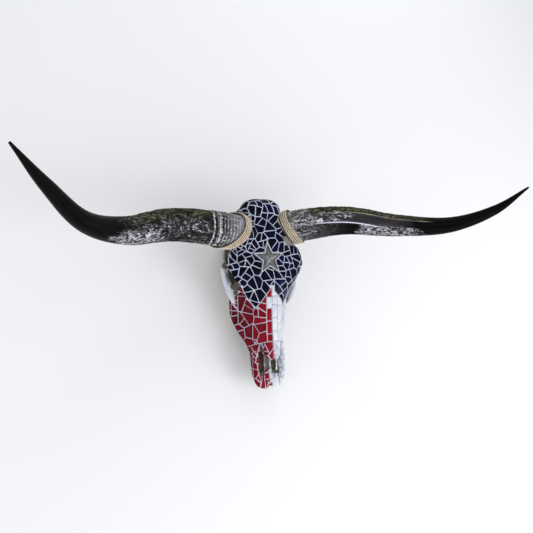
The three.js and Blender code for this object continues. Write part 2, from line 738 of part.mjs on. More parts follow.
// A plate over a flat outline, with each corner set on the ground and all of it raised above the grout.
function raisedPlate(outline, { point, facing, right, upward }, ground) {
  const ray = new THREE.Raycaster();
  const away = facing.clone().negate();
  const corners = outline.map((corner) => {
    // A corner that would hang over an edge is drawn in towards the middle.
    for (let reach = 1; reach > 0; reach -= 0.15) {
      const over = point.clone().addScaledVector(right, reach * corner.x);
      over.addScaledVector(upward, reach * corner.y).addScaledVector(facing, DROP);
      ray.set(over, away);
      const [hit] = ray.intersectObject(ground);
      if (hit && hit.distance < 1.4 * DROP) return hit.point;
    }
    return point.clone();
  });
  const geometry = new THREE.CylinderGeometry(1, 1, 1, corners.length);
  const position = geometry.attributes.position;
  for (let i = 0; i < position.count; i++) {
    const [x, y, z] = [position.getX(i), position.getY(i), position.getZ(i)];
    const turn = Math.round((Math.atan2(x, z) / (2 * Math.PI)) * corners.length + corners.length);
    const foot = Math.hypot(x, z) < 0.5 ? point : corners[turn % corners.length];
    const vertex = foot.clone().addScaledVector(facing, y > 0 ? TILE_PROUD : -TILE_ROOT);
    position.setXYZ(i, vertex.x, vertex.y, vertex.z);
  }
  return solid(geometry);
}

// The slender bones of the nose and the flanks' lower edges carry only the grout bed.
function tileable({ point }) {
  return point.y > -222 && point.z > (point.y > -40 ? NAVY_LOW + 2 : 44);
}

function mosaic() {
  const surface = outerForms(GROUT_LEVEL);
  const insideNose = block([-34, -303, 0], [34, -200, 74]);
  const cups = bothSides((side) => orbitCup(side, GAP));
  const under = union([outerForms(1.5 * GAP), bareForms(GAP), ...cups, holes, insideNose]);
  const ground = new THREE.Mesh(geometryOf(surface));
  const places = tilePlaces(surface);
  const volumes = fieldVolumes();
  const walls = jointWalls().add(starSolid(2, 40));
  const room = rootRooms(0.8);
  const socket = starSolid(GAP, 40);
  const fields = {};
  for (const [name, volume] of Object.entries(volumes)) {
    const bed = surface.intersect(volume);
    const own = places.filter((p) => p.field === name && tileable(p));
    const tiles = own.map((p) => tile(p, places, ground)).filter((t) => t);
    const glass = union(tiles).subtract(walls).intersect(volume);
    fields[name] = bed.add(glass).subtract(under).subtract(room).subtract(socket);
  }
  return fields;
}

// The whole object

const group = new THREE.Group();

function finish(color, roughness, metalness = 0) {
  return new THREE.MeshStandardMaterial({ color, roughness, metalness });
}

function show(name, manifold, material) {
  const mesh = new THREE.Mesh(geometryOf(largest(manifold)), material);
  mesh.name = name;
  group.add(mesh);
}

show('skull', skull(), finish(0xe4e1da, 0.6));
const fieldColours = { navy: 0x0b0b2e, red: 0xa01020, white: 0xeeeef6 };
for (const [name, field] of Object.entries(mosaic())) {
  show(`mosaic_${name}`, field, finish(fieldColours[name], 0.15));
}
show('star', starSolid(0, STAR_RISE).subtract(outerForms(GAP)), finish(0x8c8c90, 0.45, 0.8));
for (const side of Object.keys(SIDES)) {
  show(`horn_${side}`, horn(side), finish(0x2a2826, 0.35));
  show(`rope_${side}`, rope(side), finish(0xcdb48c, 0.9));
}

// The origin is the middle of the underside of the whole object's box.
const box = new THREE.Box3().setFromObject(group);
const middle = box.getCenter(new THREE.Vector3());
group.position.set(-middle.x, -middle.y, -box.min.z);

export default group;
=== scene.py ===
# %% [markdown]
# # A longhorn skull dressed with glass
# The real object is a longhorn's skull and horns. Its face is covered with broken glass set in grout:
# navy over the forehead, red on the animal's right and white on its left. A cast metal star sits between
# the eyes, and a jute rope is wound round the root of each horn.
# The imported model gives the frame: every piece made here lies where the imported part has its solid.

# %% Load the frame
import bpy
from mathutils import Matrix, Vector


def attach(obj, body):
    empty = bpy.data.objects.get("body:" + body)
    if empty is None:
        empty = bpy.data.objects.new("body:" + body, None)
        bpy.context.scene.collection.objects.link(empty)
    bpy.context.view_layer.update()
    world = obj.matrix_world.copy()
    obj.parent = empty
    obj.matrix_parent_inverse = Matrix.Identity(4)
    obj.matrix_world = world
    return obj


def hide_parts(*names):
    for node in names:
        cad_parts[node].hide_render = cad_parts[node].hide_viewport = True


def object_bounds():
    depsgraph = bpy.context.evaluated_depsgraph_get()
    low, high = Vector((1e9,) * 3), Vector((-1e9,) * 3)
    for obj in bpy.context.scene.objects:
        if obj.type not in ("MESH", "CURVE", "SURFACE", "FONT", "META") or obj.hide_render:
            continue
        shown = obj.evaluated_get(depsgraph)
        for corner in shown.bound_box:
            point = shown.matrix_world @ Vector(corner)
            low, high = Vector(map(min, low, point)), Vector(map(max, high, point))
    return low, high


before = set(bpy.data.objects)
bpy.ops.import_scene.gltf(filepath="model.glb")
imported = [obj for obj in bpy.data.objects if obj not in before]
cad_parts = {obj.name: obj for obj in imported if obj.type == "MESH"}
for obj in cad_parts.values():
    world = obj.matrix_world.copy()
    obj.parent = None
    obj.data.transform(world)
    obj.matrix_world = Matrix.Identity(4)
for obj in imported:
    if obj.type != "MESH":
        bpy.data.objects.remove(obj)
cad_low, cad_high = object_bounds()
print("packed box:", [round(v, 4) for v in (*cad_low, *cad_high)])

# %% [markdown]
# ## Units and helpers
# A skull is easiest to think about from its own middle, in millimetres: Y runs from the nose to the poll
# and +X is the animal's left. The frame works in metres, from the middle of the whole object's box. So
# each shape is made in the skull's millimetres and moved over once, when it is finished.

# %% Units
import math
import random
import bmesh
import bpy
from mathutils import Matrix, Vector, noise
from mathutils.bvhtree import BVHTree
from mathutils.kdtree import KDTree

MM = 0.001
SHIFT = Vector((2.98, 75.72, 0))
TO_FRAME = Matrix.Scale(MM, 4) @ Matrix.Translation(SHIFT)
SIDES = {"left": 1, "right": -1}


def smooth_step(low, high, value):
    """0 below low, 1 above high and a smooth rise between them."""
    t = min(1, max(0, (value - low) / (high - low)))
    return t * t * (3 - 2 * t)


def helper_object(mesh):
    """A scene object for a mesh while modifiers work on it."""
    thing = bpy.data.objects.new("helper", mesh)
    bpy.context.scene.collection.objects.link(thing)
    return thing


def settled(thing):
    """The object's mesh with its modifiers applied. The helper object goes."""
    graph = bpy.context.evaluated_depsgraph_get()
    mesh = bpy.data.meshes.new_from_object(thing.evaluated_get(graph))
    bpy.data.objects.remove(thing)
    return mesh


def mesh_of(parts):
    """Several bmeshes as one mesh. They are used up."""
    mesh = bpy.data.meshes.new("form")
    whole = bmesh.new()
    for part in parts:
        part.to_mesh(mesh)
        part.free()
        whole.from_mesh(mesh)
    whole.to_mesh(mesh)
    whole.free()
    return mesh


def finished(mesh, name, nodes, sharp=40):
    """Moves a mesh into the frame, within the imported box, as a piece that stands for CAD nodes."""
    mesh.transform(TO_FRAME)
    for vert in mesh.vertices:
        vert.co = [min(high, max(low, v)) for low, v, high in zip(cad_low, vert.co, cad_high)]
    mesh.shade_smooth()
    mesh.set_sharp_from_angle(angle=math.radians(sharp))
    mesh.name = name
    thing = bpy.data.objects.new(name, mesh)
    bpy.context.scene.collection.objects.link(thing)
    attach(thing, "root")
    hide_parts(*nodes)
    mesh.calc_loop_triangles()
    print(name, len(mesh.loop_triangles), "triangles")
    return thing


# %% [markdown]
# ## The camera
# The photograph looks down on the skull from over its nose, a little from the animal's right. A camera
# needs a place, a point to look at and the way that is up in the picture. All three were fitted to the
# horns, the nose and the poll. A Track To constraint could aim it, but a matrix built from three
# directions stays put when the scene changes.

# %% The camera
CAMERA_PLACE = Vector((-0.68152, -0.31006, 1.41843))
CAMERA_AIM = Vector((-0.0113, 0.0598, 0.18))
PICTURE_UP = Vector((0.1833, 1, 0))
camera = bpy.data.objects.new("camera", bpy.data.cameras.new("camera"))
bpy.context.scene.collection.objects.link(camera)
camera.data.lens = 35.02
camera.data.sensor_width = 36
camera.data.clip_start = 0.05
camera.data.clip_end = 50
camera.data.dof.use_dof = False
sight = (CAMERA_AIM - CAMERA_PLACE).normalized()
rightward = sight.cross(PICTURE_UP).normalized()
camera_turn = Matrix((rightward, rightward.cross(sight), -sight)).transposed()
camera.matrix_world = Matrix.Translation(CAMERA_PLACE) @ camera_turn.to_4x4()
bpy.context.scene.camera = camera
print("camera:", round((CAMERA_AIM - CAMERA_PLACE).length, 2), "m from what it looks at")

# %% [markdown]
# ## The floor and the light
# The skull lies on pale paper in a bright, soft studio. Four large lamps stand round it: the strongest
# over the animal's left, weaker ones in front, on its right and behind. A large lamp gives soft shadows,
# and a pale sky fills them. The Standard view keeps the dark glass as dark as it is made.

# %% The floor and the light
floor_mesh = bpy.data.meshes.new("floor")
floor_bm = bmesh.new()
bmesh.ops.create_grid(floor_bm, x_segments=1, y_segments=1, size=12)
floor_bm.to_mesh(floor_mesh)
floor_bm.free()
floor = bpy.data.objects.new("floor", floor_mesh)
bpy.context.scene.collection.objects.link(floor)
paper = bpy.data.materials.new("floor_paper")
paper.use_nodes = True
paper.node_tree.nodes["Principled BSDF"].inputs["Base Color"].default_value = (0.86, 0.86, 0.87, 1)
paper.node_tree.nodes["Principled BSDF"].inputs["Roughness"].default_value = 0.9
floor_mesh.materials.append(paper)


def lamp(name, place, power, size, aim=(0, 0, 0.1)):
    """A square lamp of a size in metres, aimed at the skull."""
    light = bpy.data.lights.new(name, "AREA")
    light.energy = power
    light.size = size
    thing = bpy.data.objects.new(name, light)
    bpy.context.scene.collection.objects.link(thing)
    thing.location = place
    thing.rotation_euler = (Vector(aim) - Vector(place)).to_track_quat("-Z", "Y").to_euler()


lamp("key", (2.0, -1.8, 1.9), 56, 2.0)
lamp("front", (-0.6, -2.9, 1.3), 14, 2.0)
lamp("fill", (-2.6, -0.4, 1.3), 12, 2.0)
lamp("back", (0.7, 2.7, 1.5), 18, 1.6)
sky = bpy.data.worlds.new("sky")
sky.use_nodes = True
sky.node_tree.nodes["Background"].inputs["Color"].default_value = (0.95, 0.97, 1, 1)
sky.node_tree.nodes["Background"].inputs["Strength"].default_value = 0.68
bpy.context.scene.world = sky
bpy.context.scene.view_settings.view_transform = "Standard"
print("lamps:", len(bpy.data.lights))

# %% [markdown]
# ## Lines and skins
# Bones and horns are grown things: round in section and gently curved. The natural way to model one is
# to pull a skin over rings that follow a curved line. The skin starts as a sphere from
# bmesh.ops.create_uvsphere, because a sphere is already closed and already laid out in rings, and each
# ring of its vertices is moved to its place on the bone.

# %% A smooth line through points
class Line:
    """A centripetal Catmull-Rom line, which doesn't overshoot where its points lie unevenly."""

    def __init__(self, points, closed=False):
        self.points = [Vector(p) for p in points]
        self.closed = closed

    def at(self, t):
        """The point at a share t of the line's pieces."""
        points, count = self.points, len(self.points)
        place = (count if self.closed else count - 1) * t
        i = math.floor(place)
        weight = place - i
        if not self.closed and i >= count - 1:
            i, weight = count - 2, 1
        b, c = points[i % count], points[(i + 1) % count]
        a = points[(i - 1) % count] if self.closed or i > 0 else 2 * b - c
        d = points[(i + 2) % count] if self.closed or i + 2 < count else 2 * c - b
        ab, bc, cd = (math.sqrt((q - p).length) or 1 for p, q in ((a, b), (b, c), (c, d)))
        leave = ((b - a) / ab - (c - a) / (ab + bc) + (c - b) / bc) * bc
        arrive = ((c - b) / bc - (d - b) / (bc + cd) + (d - c) / cd) * bc
        w2, w3 = weight**2, weight**3
        return (b * (2 * w3 - 3 * w2 + 1) + leave * (w3 - 2 * w2 + weight)
                + c * (3 * w2 - 2 * w3) + arrive * (w3 - w2))

    def direction(self, t):
        return (self.at(min(1, t + 1e-4)) - self.at(max(0, t - 1e-4))).normalized()


def between(places, values, place):
    """A smooth value between the stations of a list, by cubic Hermite pieces."""
    last = len(places) - 1
    if place <= places[0]:
        return values[0]
    if place >= places[last]:
        return values[last]
    i = 0
    while place > places[i + 1]:
        i += 1

    def slope(k):
        low, high = max(k - 1, 0), min(k + 1, last)
        return (values[high] - values[low]) / (places[high] - places[low])

    span = places[i + 1] - places[i]
    t = (place - places[i]) / span
    return ((2 * t**3 - 3 * t**2 + 1) * values[i] + (t**3 - 2 * t**2 + t) * span * slope(i)
            + (3 * t**2 - 2 * t**3) * values[i + 1] + (t**3 - t**2) * span * slope(i + 1))


# %% [markdown]
# ## Limbs
# A curve with a bevel could be a limb too, but its section is the same all along. Rings that are worked
# out one by one can be flat, lobed or lopsided, so one function serves bone, horn, rope and tooth. Each
# vertex keeps its place along and round the form in an attribute called way, which the finishes read.

# %% A skin over rings
def face_outwards(bm):
    """Turns a closed form's faces outwards: a form that is inside out has a negative volume."""
    bmesh.ops.recalc_face_normals(bm, faces=bm.faces)
    if bm.calc_volume(signed=True) < 0:
        bmesh.ops.reverse_faces(bm, faces=bm.faces)
    return bm


def skin(ring, rings, around):
    """A closed skin: ring(along) gives the points of one ring, with along from 0 to 1."""
    bm = bmesh.new()
    bmesh.ops.create_uvsphere(bm, u_segments=around, v_segments=rings + 1, radius=1)
    way = bm.verts.layers.float_vector.new("way")
    rows = {}
    for vert in bm.verts:
        row = round(math.acos(max(-1, min(1, vert.co.z))) / math.pi * (rings + 1))
        turn = round(math.atan2(vert.co.y, vert.co.x) / math.tau * around) % around
        rows.setdefault(row, []).append((vert, turn))
    for row, members in rows.items():
        along = min(1, max(0, (row - 1) / (rings - 1)))
        points = ring(along)
        middle = sum(points, Vector()) / len(points)
        for vert, turn in members:
            vert.co = middle if row in (0, rings + 1) else points[turn]
            angle = math.tau * turn / around
            vert[way] = (along, math.cos(angle), math.sin(angle))
    return face_outwards(bm)


def limb(points, sizes, grow=0, rings=40, around=28, blunt=0.12, up=(0, 0, 1)):
    """A round or flat limb along a line. sizes are [half width, half height] at even stations.

    blunt is the share of the limb at each end over which it is rounded off.
    """
    line = Line(points)
    stations = [i / (len(sizes) - 1) for i in range(len(sizes))]

    def ring(along):
        from_end = min(along, 1 - along)
        shrink = math.sqrt(1 - (1 - from_end / blunt) ** 2 * 0.75) if from_end < blunt else 1
        centre, forward = line.at(along), line.direction(along)
        across = forward.cross(Vector(up)).normalized()
        over = across.cross(forward).normalized()
        wide, high = (between(stations, [s[k] for s in sizes], along) * shrink + grow for k in (0, 1))
        if along in (0, 1):
            centre = centre + forward * (grow if along else -grow)
        angles = [math.tau * k / around for k in range(around)]
        return [centre + across * (wide * math.cos(a)) + over * (high * math.sin(a)) for a in angles]

    return skin(ring, rings, around)


# %% [markdown]
# ## Balls and blocks
# The hollows in the bone are mostly balls, and the planes that end a form are large blocks. A round
# hollow is quicker to make as a stretched ball than to sculpt, and a block cuts cleanly.

# %% Balls and blocks
def ellipsoid(centre, radii, grow=0, turn=(0, 0, 0)):
    """A ball stretched along its axes and turned about X, Y and Z."""
    bm = bmesh.new()
    about_x, about_y, about_z = (Matrix.Rotation(angle, 4, axis) for angle, axis in zip(turn, "XYZ"))
    spin = about_x @ about_y @ about_z
    stretch = Matrix.Diagonal([r + grow for r in radii] + [1])
    bmesh.ops.create_uvsphere(bm, u_segments=32, v_segments=20, radius=1,
                              matrix=Matrix.Translation(centre) @ spin @ stretch)
    return bm


def block(low, high):
    """A box from its lowest to its highest corner."""
    bm = bmesh.new()
    low, high = Vector(low), Vector(high)
    bmesh.ops.create_cube(bm, size=1, matrix=Matrix.Translation((low + high) / 2)
                          @ Matrix.Diagonal([*(high - low), 1]))
    return bm


def beyond(normal, distance, size=1500):
    """All that lies beyond a plane, as a large block standing on it."""
    bm = bmesh.new()
    stand = normal.to_track_quat("Z", "Y").to_matrix().to_4x4()
    bmesh.ops.create_cube(bm, size=size, matrix=Matrix.Translation(normal * (distance + size / 2)) @ stand)
    return bm


# %% [markdown]
# ## Melting forms together
# Bones run into each other without a seam. Pushing several closed forms together and voxel remeshing
# them gives one even skin, and a few rounds of smoothing turn the creases between them into the soft
# hollows that real bone has. Smoothing alone shrinks thin bones, so each step inwards is followed by
# one that is slightly larger outwards, with a negative factor.

# %% Melt, carve and smooth
def melted(meshes, voxel):
    """One even skin round all of the meshes."""
    whole = bmesh.new()
    for mesh in meshes:
        whole.from_mesh(mesh)
    mesh = bpy.data.meshes.new("melted")
    whole.to_mesh(mesh)
    whole.free()
    thing = helper_object(mesh)
    remesh = thing.modifiers.new("melt", "REMESH")
    remesh.mode = "VOXEL"
    remesh.voxel_size = voxel
    return settled(thing)


def carved(mesh, tool, operation="DIFFERENCE"):
    """The mesh without the space that the tool takes up, or only what lies in it."""
    thing, cutter = helper_object(mesh), helper_object(tool)
    boolean = thing.modifiers.new("carve", "BOOLEAN")
    boolean.solver = "MANIFOLD"
    boolean.operation = operation
    boolean.object = cutter
    result = settled(thing)
    bpy.data.objects.remove(cutter)
    return result


def relaxed(mesh, rounds, inward=0.5, outward=-0.52):
    """The mesh smoothed without shrinking."""
    thing = helper_object(mesh)
    for _ in range(rounds):
        for factor in (inward, outward):
            smooth = thing.modifiers.new("relax", "SMOOTH")
            smooth.factor = factor
            smooth.iterations = 1
    return settled(thing)


# %% [markdown]
# ## The skull's forms
# The stations give half outlines across the skull, from the middle of the roof to the middle of the
# palate. The slender bones, the eye's ring and the cheekbones are limbs added to that form. They repeat
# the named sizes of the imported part, so the bone seen here fills the solid that it stands for.

# %% The main form
STATIONS = [
    (-236, 109, (18, 106), (34, 88), (45, 60), (41, 45), 45),
    (-200, 119, (22, 115), (37, 94), (57, 54), (48, 38), 42),
    (-165, 128, (26, 124), (41, 101), (75, 49), (60, 29), 40),
    (-128, 141, (30, 137), (47, 113), (86, 50), (65, 23), 40),
    (-88, 156, (38, 151), (59, 129), (87, 65), (65, 23), 42),
    (-48, 167, (60, 162), (91, 142), (88, 80), (60, 30), 44),
    (-6, 175, (80, 170), (117, 152), (84, 90), (50, 46), 48),
    (30, 180, (80, 174), (115, 155), (82, 98), (50, 54), 48),
    (70, 187, (66, 182), (99, 154), (76, 98), (52, 58), 44),
    (115, 194, (56, 188), (86, 148), (80, 98), (50, 58), 42),
    (150, 192, (52, 182), (80, 138), (80, 94), (48, 60), 46),
]
NAPE_LEAN = 0.16


def outline_at(y):
    """The closed outline across the skull at one place along it."""
    ys = [s[0] for s in STATIONS]
    half = [(0, between(ys, [s[1] for s in STATIONS], y))]
    for k in range(2, 6):
        half.append(tuple(between(ys, [s[k][j] for s in STATIONS], y) for j in (0, 1)))
    half.append((0, between(ys, [s[6] for s in STATIONS], y)))
    other = [(-x, z) for x, z in half[-2:0:-1]]
    return Line([(x, 0, z) for x, z in half + other], closed=True)


def main_form(grow, rings=76, around=96):
    """The braincase and the face, grown outwards by a distance. Its back leans as a nape does."""
    first, last = STATIONS[0][0], STATIONS[-1][0]

    def ring(along):
        y = first + (last - first) * along
        back = max(0, (y - 75) / (last - 75))
        outline = outline_at(y)
        points = []
        for k in range(around):
            point, tangent = outline.at(k / around), outline.direction(k / around)
            outward = Vector((-tangent.z, 0, tangent.x))
            if outward.dot(Vector((point.x, 0, point.z - 100))) < 0:
                outward.negate()
            point = point + outward * grow
            ends = grow if along == 1 else -grow if along == 0 else 0
            point.y = y + ends + back * NAPE_LEAN * (point.z - 110)
            points.append(point)
        return points

    return skin(ring, rings, around)


print("main form:", STATIONS[-1][0] - STATIONS[0][0], "mm long")

# %% [markdown]
# ## The line of each horn
# The horns grow out of the skull sideways, then sweep up and forwards. Each has its own line, because no
# two horns match. Their radii are alike. A slanting plane across the root is where the bare bone ends
# and the sheath begins.

# %% Horn lines
HORN_LINES = {
    "right": [(-32, 88, 158), (-92, 91, 177), (-277, 98, 204), (-415, 55, 273),
              (-519, 40, 361), (-601, 68, 473), (-661, 93, 574)],
    "left": [(38, 102, 152), (98, 110, 164), (263, 115, 208), (411, 77, 267),
             (526, 39, 372), (607, 47, 472), (655, 80, 559)],
}
HORN_RADII = [26, 47, 43.5, 34, 23.1, 13.6, 2.5]
HORN_STATIONS = [i / 6 for i in range(7)]
ROOT_NORMAL = {"left": Vector((0.65, 0.23, 0.72)).normalized(),
               "right": Vector((-0.73, 0.24, 0.64)).normalized()}
ROOT_DISTANCE = {"left": 194, "right": 199}
HORN_LINE = {side: Line(points) for side, points in HORN_LINES.items()}


def horn_point(side, along, turn, grow=0.0):
    """A point on the horn, or off it by grow, and the way that the surface faces there."""
    line = HORN_LINE[side]
    forward = line.direction(along)
    across = forward.cross(Vector((0, 1, 0))).normalized()
    over = across.cross(forward).normalized()
    outward = across * math.cos(math.tau * turn) + over * math.sin(math.tau * turn)
    return line.at(along) + outward * (between(HORN_STATIONS, HORN_RADII, along) + grow), outward


def horn_tube(side, start, end, grow, rings, around=40):
    """A plain tube over part of the horn, for the bone under it and for the room round it."""
    def ring(along):
        place = start + (end - start) * along
        return [horn_point(side, place, k / around, grow)[0] for k in range(around)]

    return skin(ring, rings, around)


for side, line in HORN_LINE.items():
    spots = [line.at(i / 100) for i in range(101)]
    print(side, "horn:", round(sum((q - p).length for p, q in zip(spots, spots[1:]))), "mm along")

# %% [markdown]
# ## Nose and poll
# The poll is the ridge between the horns. At the other end the nasal bones end in two points over the
# nose's opening, and the premaxilla carries the upper lip on two curved arms. They are slender, so each
# is a limb of its own that is pushed into the main form and melts into it.

# %% Nose, poll and premaxilla
def poll(grow):
    """The ridge between the horns."""
    return limb([(-58, 140, 166), (-28, 152, 176), (0, 156, 176), (28, 152, 176), (54, 144, 168)],
                [(24, 21), (32, 26), (31, 24), (32, 26), (22, 19)], grow, blunt=0.16)


def nasal_bone(s, grow):
    """One side's nasal bone, with the long point beside the middle and the short one beside it."""
    return [
        limb([(s * 11, -190, 112), (s * 11.5, -225, 107), (s * 10, -250, 105), (s * 7, -266, 103.5)],
             [(12, 7), (11.5, 6.2), (9, 5.2), (2.6, 3)], grow, blunt=0.06),
        limb([(s * 17, -205, 108), (s * 19, -232, 102.5), (s * 18, -251, 101)],
             [(7, 6), (6, 5), (2.4, 3)], grow, blunt=0.08),
    ]


def premaxilla(s, grow):
    """One side's arm, the plate at its front and the bar beside the middle."""
    arm = [(s * 35, -196, 84), (s * 40.5, -232, 74), (s * 42, -268, 65), (s * 39, -303, 58),
           (s * 27, -324, 54), (s * 5, -331, 54)]
    return [
        limb(arm, [(10, 14), (8.5, 16), (7.5, 14), (8.5, 9), (12, 6.5), (11, 6)], grow),
        ellipsoid((s * 20, -312, 53), (21, 22, 7), grow),
        limb([(s * 4.5, -318, 53), (s * 4.5, -285, 53), (s * 5, -236, 57)],
             [(5.4, 5), (5.2, 4.6), (6, 6)], grow),
    ]


def outer_forms(grow):
    """The forms that carry the mosaic."""
    parts = [main_form(grow), poll(grow)]
    for side, s in SIDES.items():
        parts.append(horn_tube(side, 0, 0.24, grow - 0.4, 20))
        parts += nasal_bone(s, grow) + premaxilla(s, grow)
    return parts


# %% [markdown]
# ## Round the eye
# A ring of bone surrounds the eye, and a bar joins it to the cheekbone below. A torus would do for the
# ring. Here a small circle is spun about the eye's own axis with bmesh.ops.spin, which shows how a torus
# comes about and lets it be stood up on any axis. The photographed skull isn't even: its right
# cheekbone lies closer in than its left.

# %% Round the eye, the cheek and the temple
EYE_RADIUS, RIM_RADIUS = 35, 7.5


def eye_place(s):
    return Vector((s * 100, -20, 118))


def eye_axis(s):
    return Vector((s, -0.26, 0.12)).normalized()


def orbit_rim(s, grow):
    """The bony ring round the eye: a circle spun about the eye's own axis."""
    bm = bmesh.new()
    section = Matrix.Translation((EYE_RADIUS, 0, 0)) @ Matrix.Rotation(math.pi / 2, 4, "X")
    circle = bmesh.ops.create_circle(bm, segments=20, radius=RIM_RADIUS + grow, matrix=section)
    bmesh.ops.spin(bm, geom=circle["verts"] + bm.edges[:], cent=(0, 0, 0), axis=(0, 0, 1),
                   angle=math.tau, steps=64, use_merge=True, use_duplicate=False)
    bmesh.ops.remove_doubles(bm, verts=bm.verts, dist=0.01)
    outward = eye_axis(s)
    back = Vector((s * 0.26, 1, 0)).normalized()
    upward = outward.cross(back) * s
    stand = Matrix((back, upward, outward)).transposed().to_4x4()
    bmesh.ops.transform(bm, matrix=Matrix.Translation(eye_place(s)) @ stand, verts=bm.verts)
    return face_outwards(bm)


CHEEKBONES = {
    1: [(86, -104, 78), (109, -72, 80), (119, -48, 86), (111, -10, 88), (101, 40, 84), (84, 88, 80)],
    -1: [(-78, -102, 74), (-94, -64, 82), (-103, -30, 84), (-105, 4, 88), (-95, 40, 84), (-80, 88, 80)],
}
NAVY_LOW = 134


def side_bones(s, grow):
    """The eye's ring, the cheekbone and the bar between them, up to the lower edge of the navy field."""
    parts = [
        orbit_rim(s, grow),
        limb(CHEEKBONES[s], [(5, 9), (8, 12), (7, 12), (6, 12), (6, 11), (8, 12)], grow),
        limb([(s * 102, 28, 150), (s * 103, 22, 126), (s * 100, 18, 92)], [(8, 14), (6, 9), (6, 10)],
             grow, up=(0, 1, 0)),
    ]
    for part in parts:
        everything = part.verts[:] + part.edges[:] + part.faces[:]
        cut = bmesh.ops.bisect_plane(part, geom=everything, plane_co=(0, 0, NAVY_LOW), plane_no=(0, 0, 1),
                                     clear_outer=True)
        rims = [e for e in cut["geom_cut"] if isinstance(e, bmesh.types.BMEdge)]
        bmesh.ops.holes_fill(part, edges=rims, sides=0)
    return parts


# %% [markdown]
# ## The hollows
# The nose, the palate, the eyes and the temples are hollow. Each hollow is a closed form too, which a
# Boolean takes out of the bone. Melting all of them together first means one cut in place of ten.

# %% The hollows
def hollows():
    """The spaces in the bone, each as its own closed form."""
    parts = [
        limb([(0, -300, 76), (0, -262, 79), (0, -225, 80), (0, -170, 84), (0, -120, 90)],
             [(27, 26), (27, 22), (25, 21), (21, 21), (16, 18)], blunt=0.1),
        ellipsoid((0, -110, 20), (37, 120, 25), turn=(-0.02, 0, 0)),
    ]
    for s in SIDES.values():
        parts += [
            limb([(s * 25, -262, 88), (s * 29, -240, 93), (s * 31, -212, 101)], [(9, 12), (8, 10), (3, 4)],
                 blunt=0.2),
            ellipsoid((s * 112, -22, 118), (50, 30, 28), turn=(0, s * 0.06, -s * 0.2)),
            ellipsoid((s * 110, 58, 120), (38, 27, 21), turn=(0, 0, -s * 0.2)),
            ellipsoid((s * 38, 172, 112), (30, 16, 30)),
        ]
    return parts


# %% [markdown]
# ## The underside and the back
# Where the neck joined, two round knobs flank the hole for the spinal cord, and two prongs point down
# beside them, on which the skull rests. They are limbs and balls again. None of them is in the
# photograph, so they follow what a cow's skull has.

# %% The underside and the back
def skull_base():
    """The base of the skull, the palate's bones and the knobs and prongs at its back."""
    parts = [
        limb([(0, 146, 50), (0, 100, 46), (0, 40, 54)], [(25, 14), (17, 13), (13, 12)]),
        limb([(0, 152, 92), (0, 162, 118), (0, 164, 142)], [(3, 8), (6, 9), (14, 8)], up=(0, 1, 0)),
        ellipsoid((0, -262, 46), (37, 62, 4.5), turn=(0.03, 0, 0)),
        limb([(0, -232, 62), (0, -180, 70), (0, -110, 84)], [(2.2, 18), (2.6, 26), (3, 24)], blunt=0.2),
    ]
    for s in SIDES.values():
        parts += [
            limb([(s * 9, 158, 43), (s * 25, 162, 48), (s * 31, 162, 64), (s * 24, 156, 80)],
                 [(9, 10), (11, 14), (10, 13), (6, 9)], blunt=0.2, up=(0, 1, 0)),
            limb([(s * 58, 122, 78), (s * 58, 120, 44), (s * 54, 114, 18), (s * 50, 110, -4)],
                 [(16, 12), (13, 9), (10, 8), (7.5, 7)], blunt=0.01, up=(0, 1, 0)),
            ellipsoid((s * 37, 88, 44), (12, 17, 19)),
            limb([(s * 50, 78, 84), (s * 56, 72, 62), (s * 62, 70, 54)], [(16, 16), (15, 12), (14, 7)]),
            limb([(s * 28, -14, 44), (s * 29, 8, 30), (s * 30, 26, 26)], [(3.5, 18), (3.2, 15), (3, 9)]),
        ]
    return parts


def nerve_hole():
    """The hole for the spinal cord, as a cone that widens outwards."""
    bm = bmesh.new()
    stand = Matrix.Translation((0, 158, 78)) @ Matrix.Rotation(-0.35, 4, "X")
    lie = Matrix.Rotation(math.pi / 2, 4, "X") @ Matrix.Diagonal((1.1, 0.9, 1, 1))
    bmesh.ops.create_cone(bm, cap_ends=True, segments=32, radius1=15, radius2=18, depth=60,
                          matrix=stand @ lie)
    return bm


# %% [markdown]
# ## Room for horn and rope
# The sheath's end and the rope on it sit in a shallow seat in the bone. The seat is the horn's own tube,
# made larger by the rope, and only the part beyond the root's plane. A Boolean set to intersect keeps
# just that part.

# %% Room for horn and rope
ROPE_RADIUS, ROPE_LIFT, ROPE_CLEAR, ROPE_TURNS, GAP = 3.1, 1.2, 2, 4, 0.3


def root_room(side):
    """Room for the end of the horn and the rope on it, beyond the root's plane."""
    tube = mesh_of([horn_tube(side, 0, 0.35, 2 * ROPE_RADIUS + ROPE_LIFT + ROPE_CLEAR, 20)])
    return carved(tube, mesh_of([beyond(ROOT_NORMAL[side], ROOT_DISTANCE[side] - GAP / 2)]), "INTERSECT")


# %% [markdown]
# ## Making the bone
# The outer forms melt first, with a ball behind each eye to give the brow its fullness. The hollows are
# carved out of that, and the slender bones melt in last, so that no hollow cuts through them. The floor
# cuts off whatever would stand below it.

# %% Melt the bone
VOXEL = 2.4
brows = [ellipsoid((s * 76, -18, 114), (33, 44, 40), turn=(0, 0, -s * 0.2)) for s in SIDES.values()]
shell = melted([mesh_of(outer_forms(0) + brows)], VOXEL)
shell = carved(shell, melted([mesh_of(hollows())], VOXEL))
bone_mesh = melted([shell, mesh_of(side_bones(1, 0) + side_bones(-1, 0) + skull_base())], VOXEL)
for tool in (mesh_of([nerve_hole()]), root_room("left"), root_room("right"),
             mesh_of([block((-900, -900, -400), (900, 900, 0))])):
    bone_mesh = carved(bone_mesh, tool)
bone_mesh = relaxed(melted([bone_mesh], VOXEL), 8)
print("bone skin:", len(bone_mesh.polygons), "faces")


def tree_of(mesh):
    """A tree that finds the nearest face of a mesh, or the one that a ray meets."""
    return BVHTree.FromPolygons([v.co for v in mesh.vertices], [p.vertices for p in mesh.polygons])


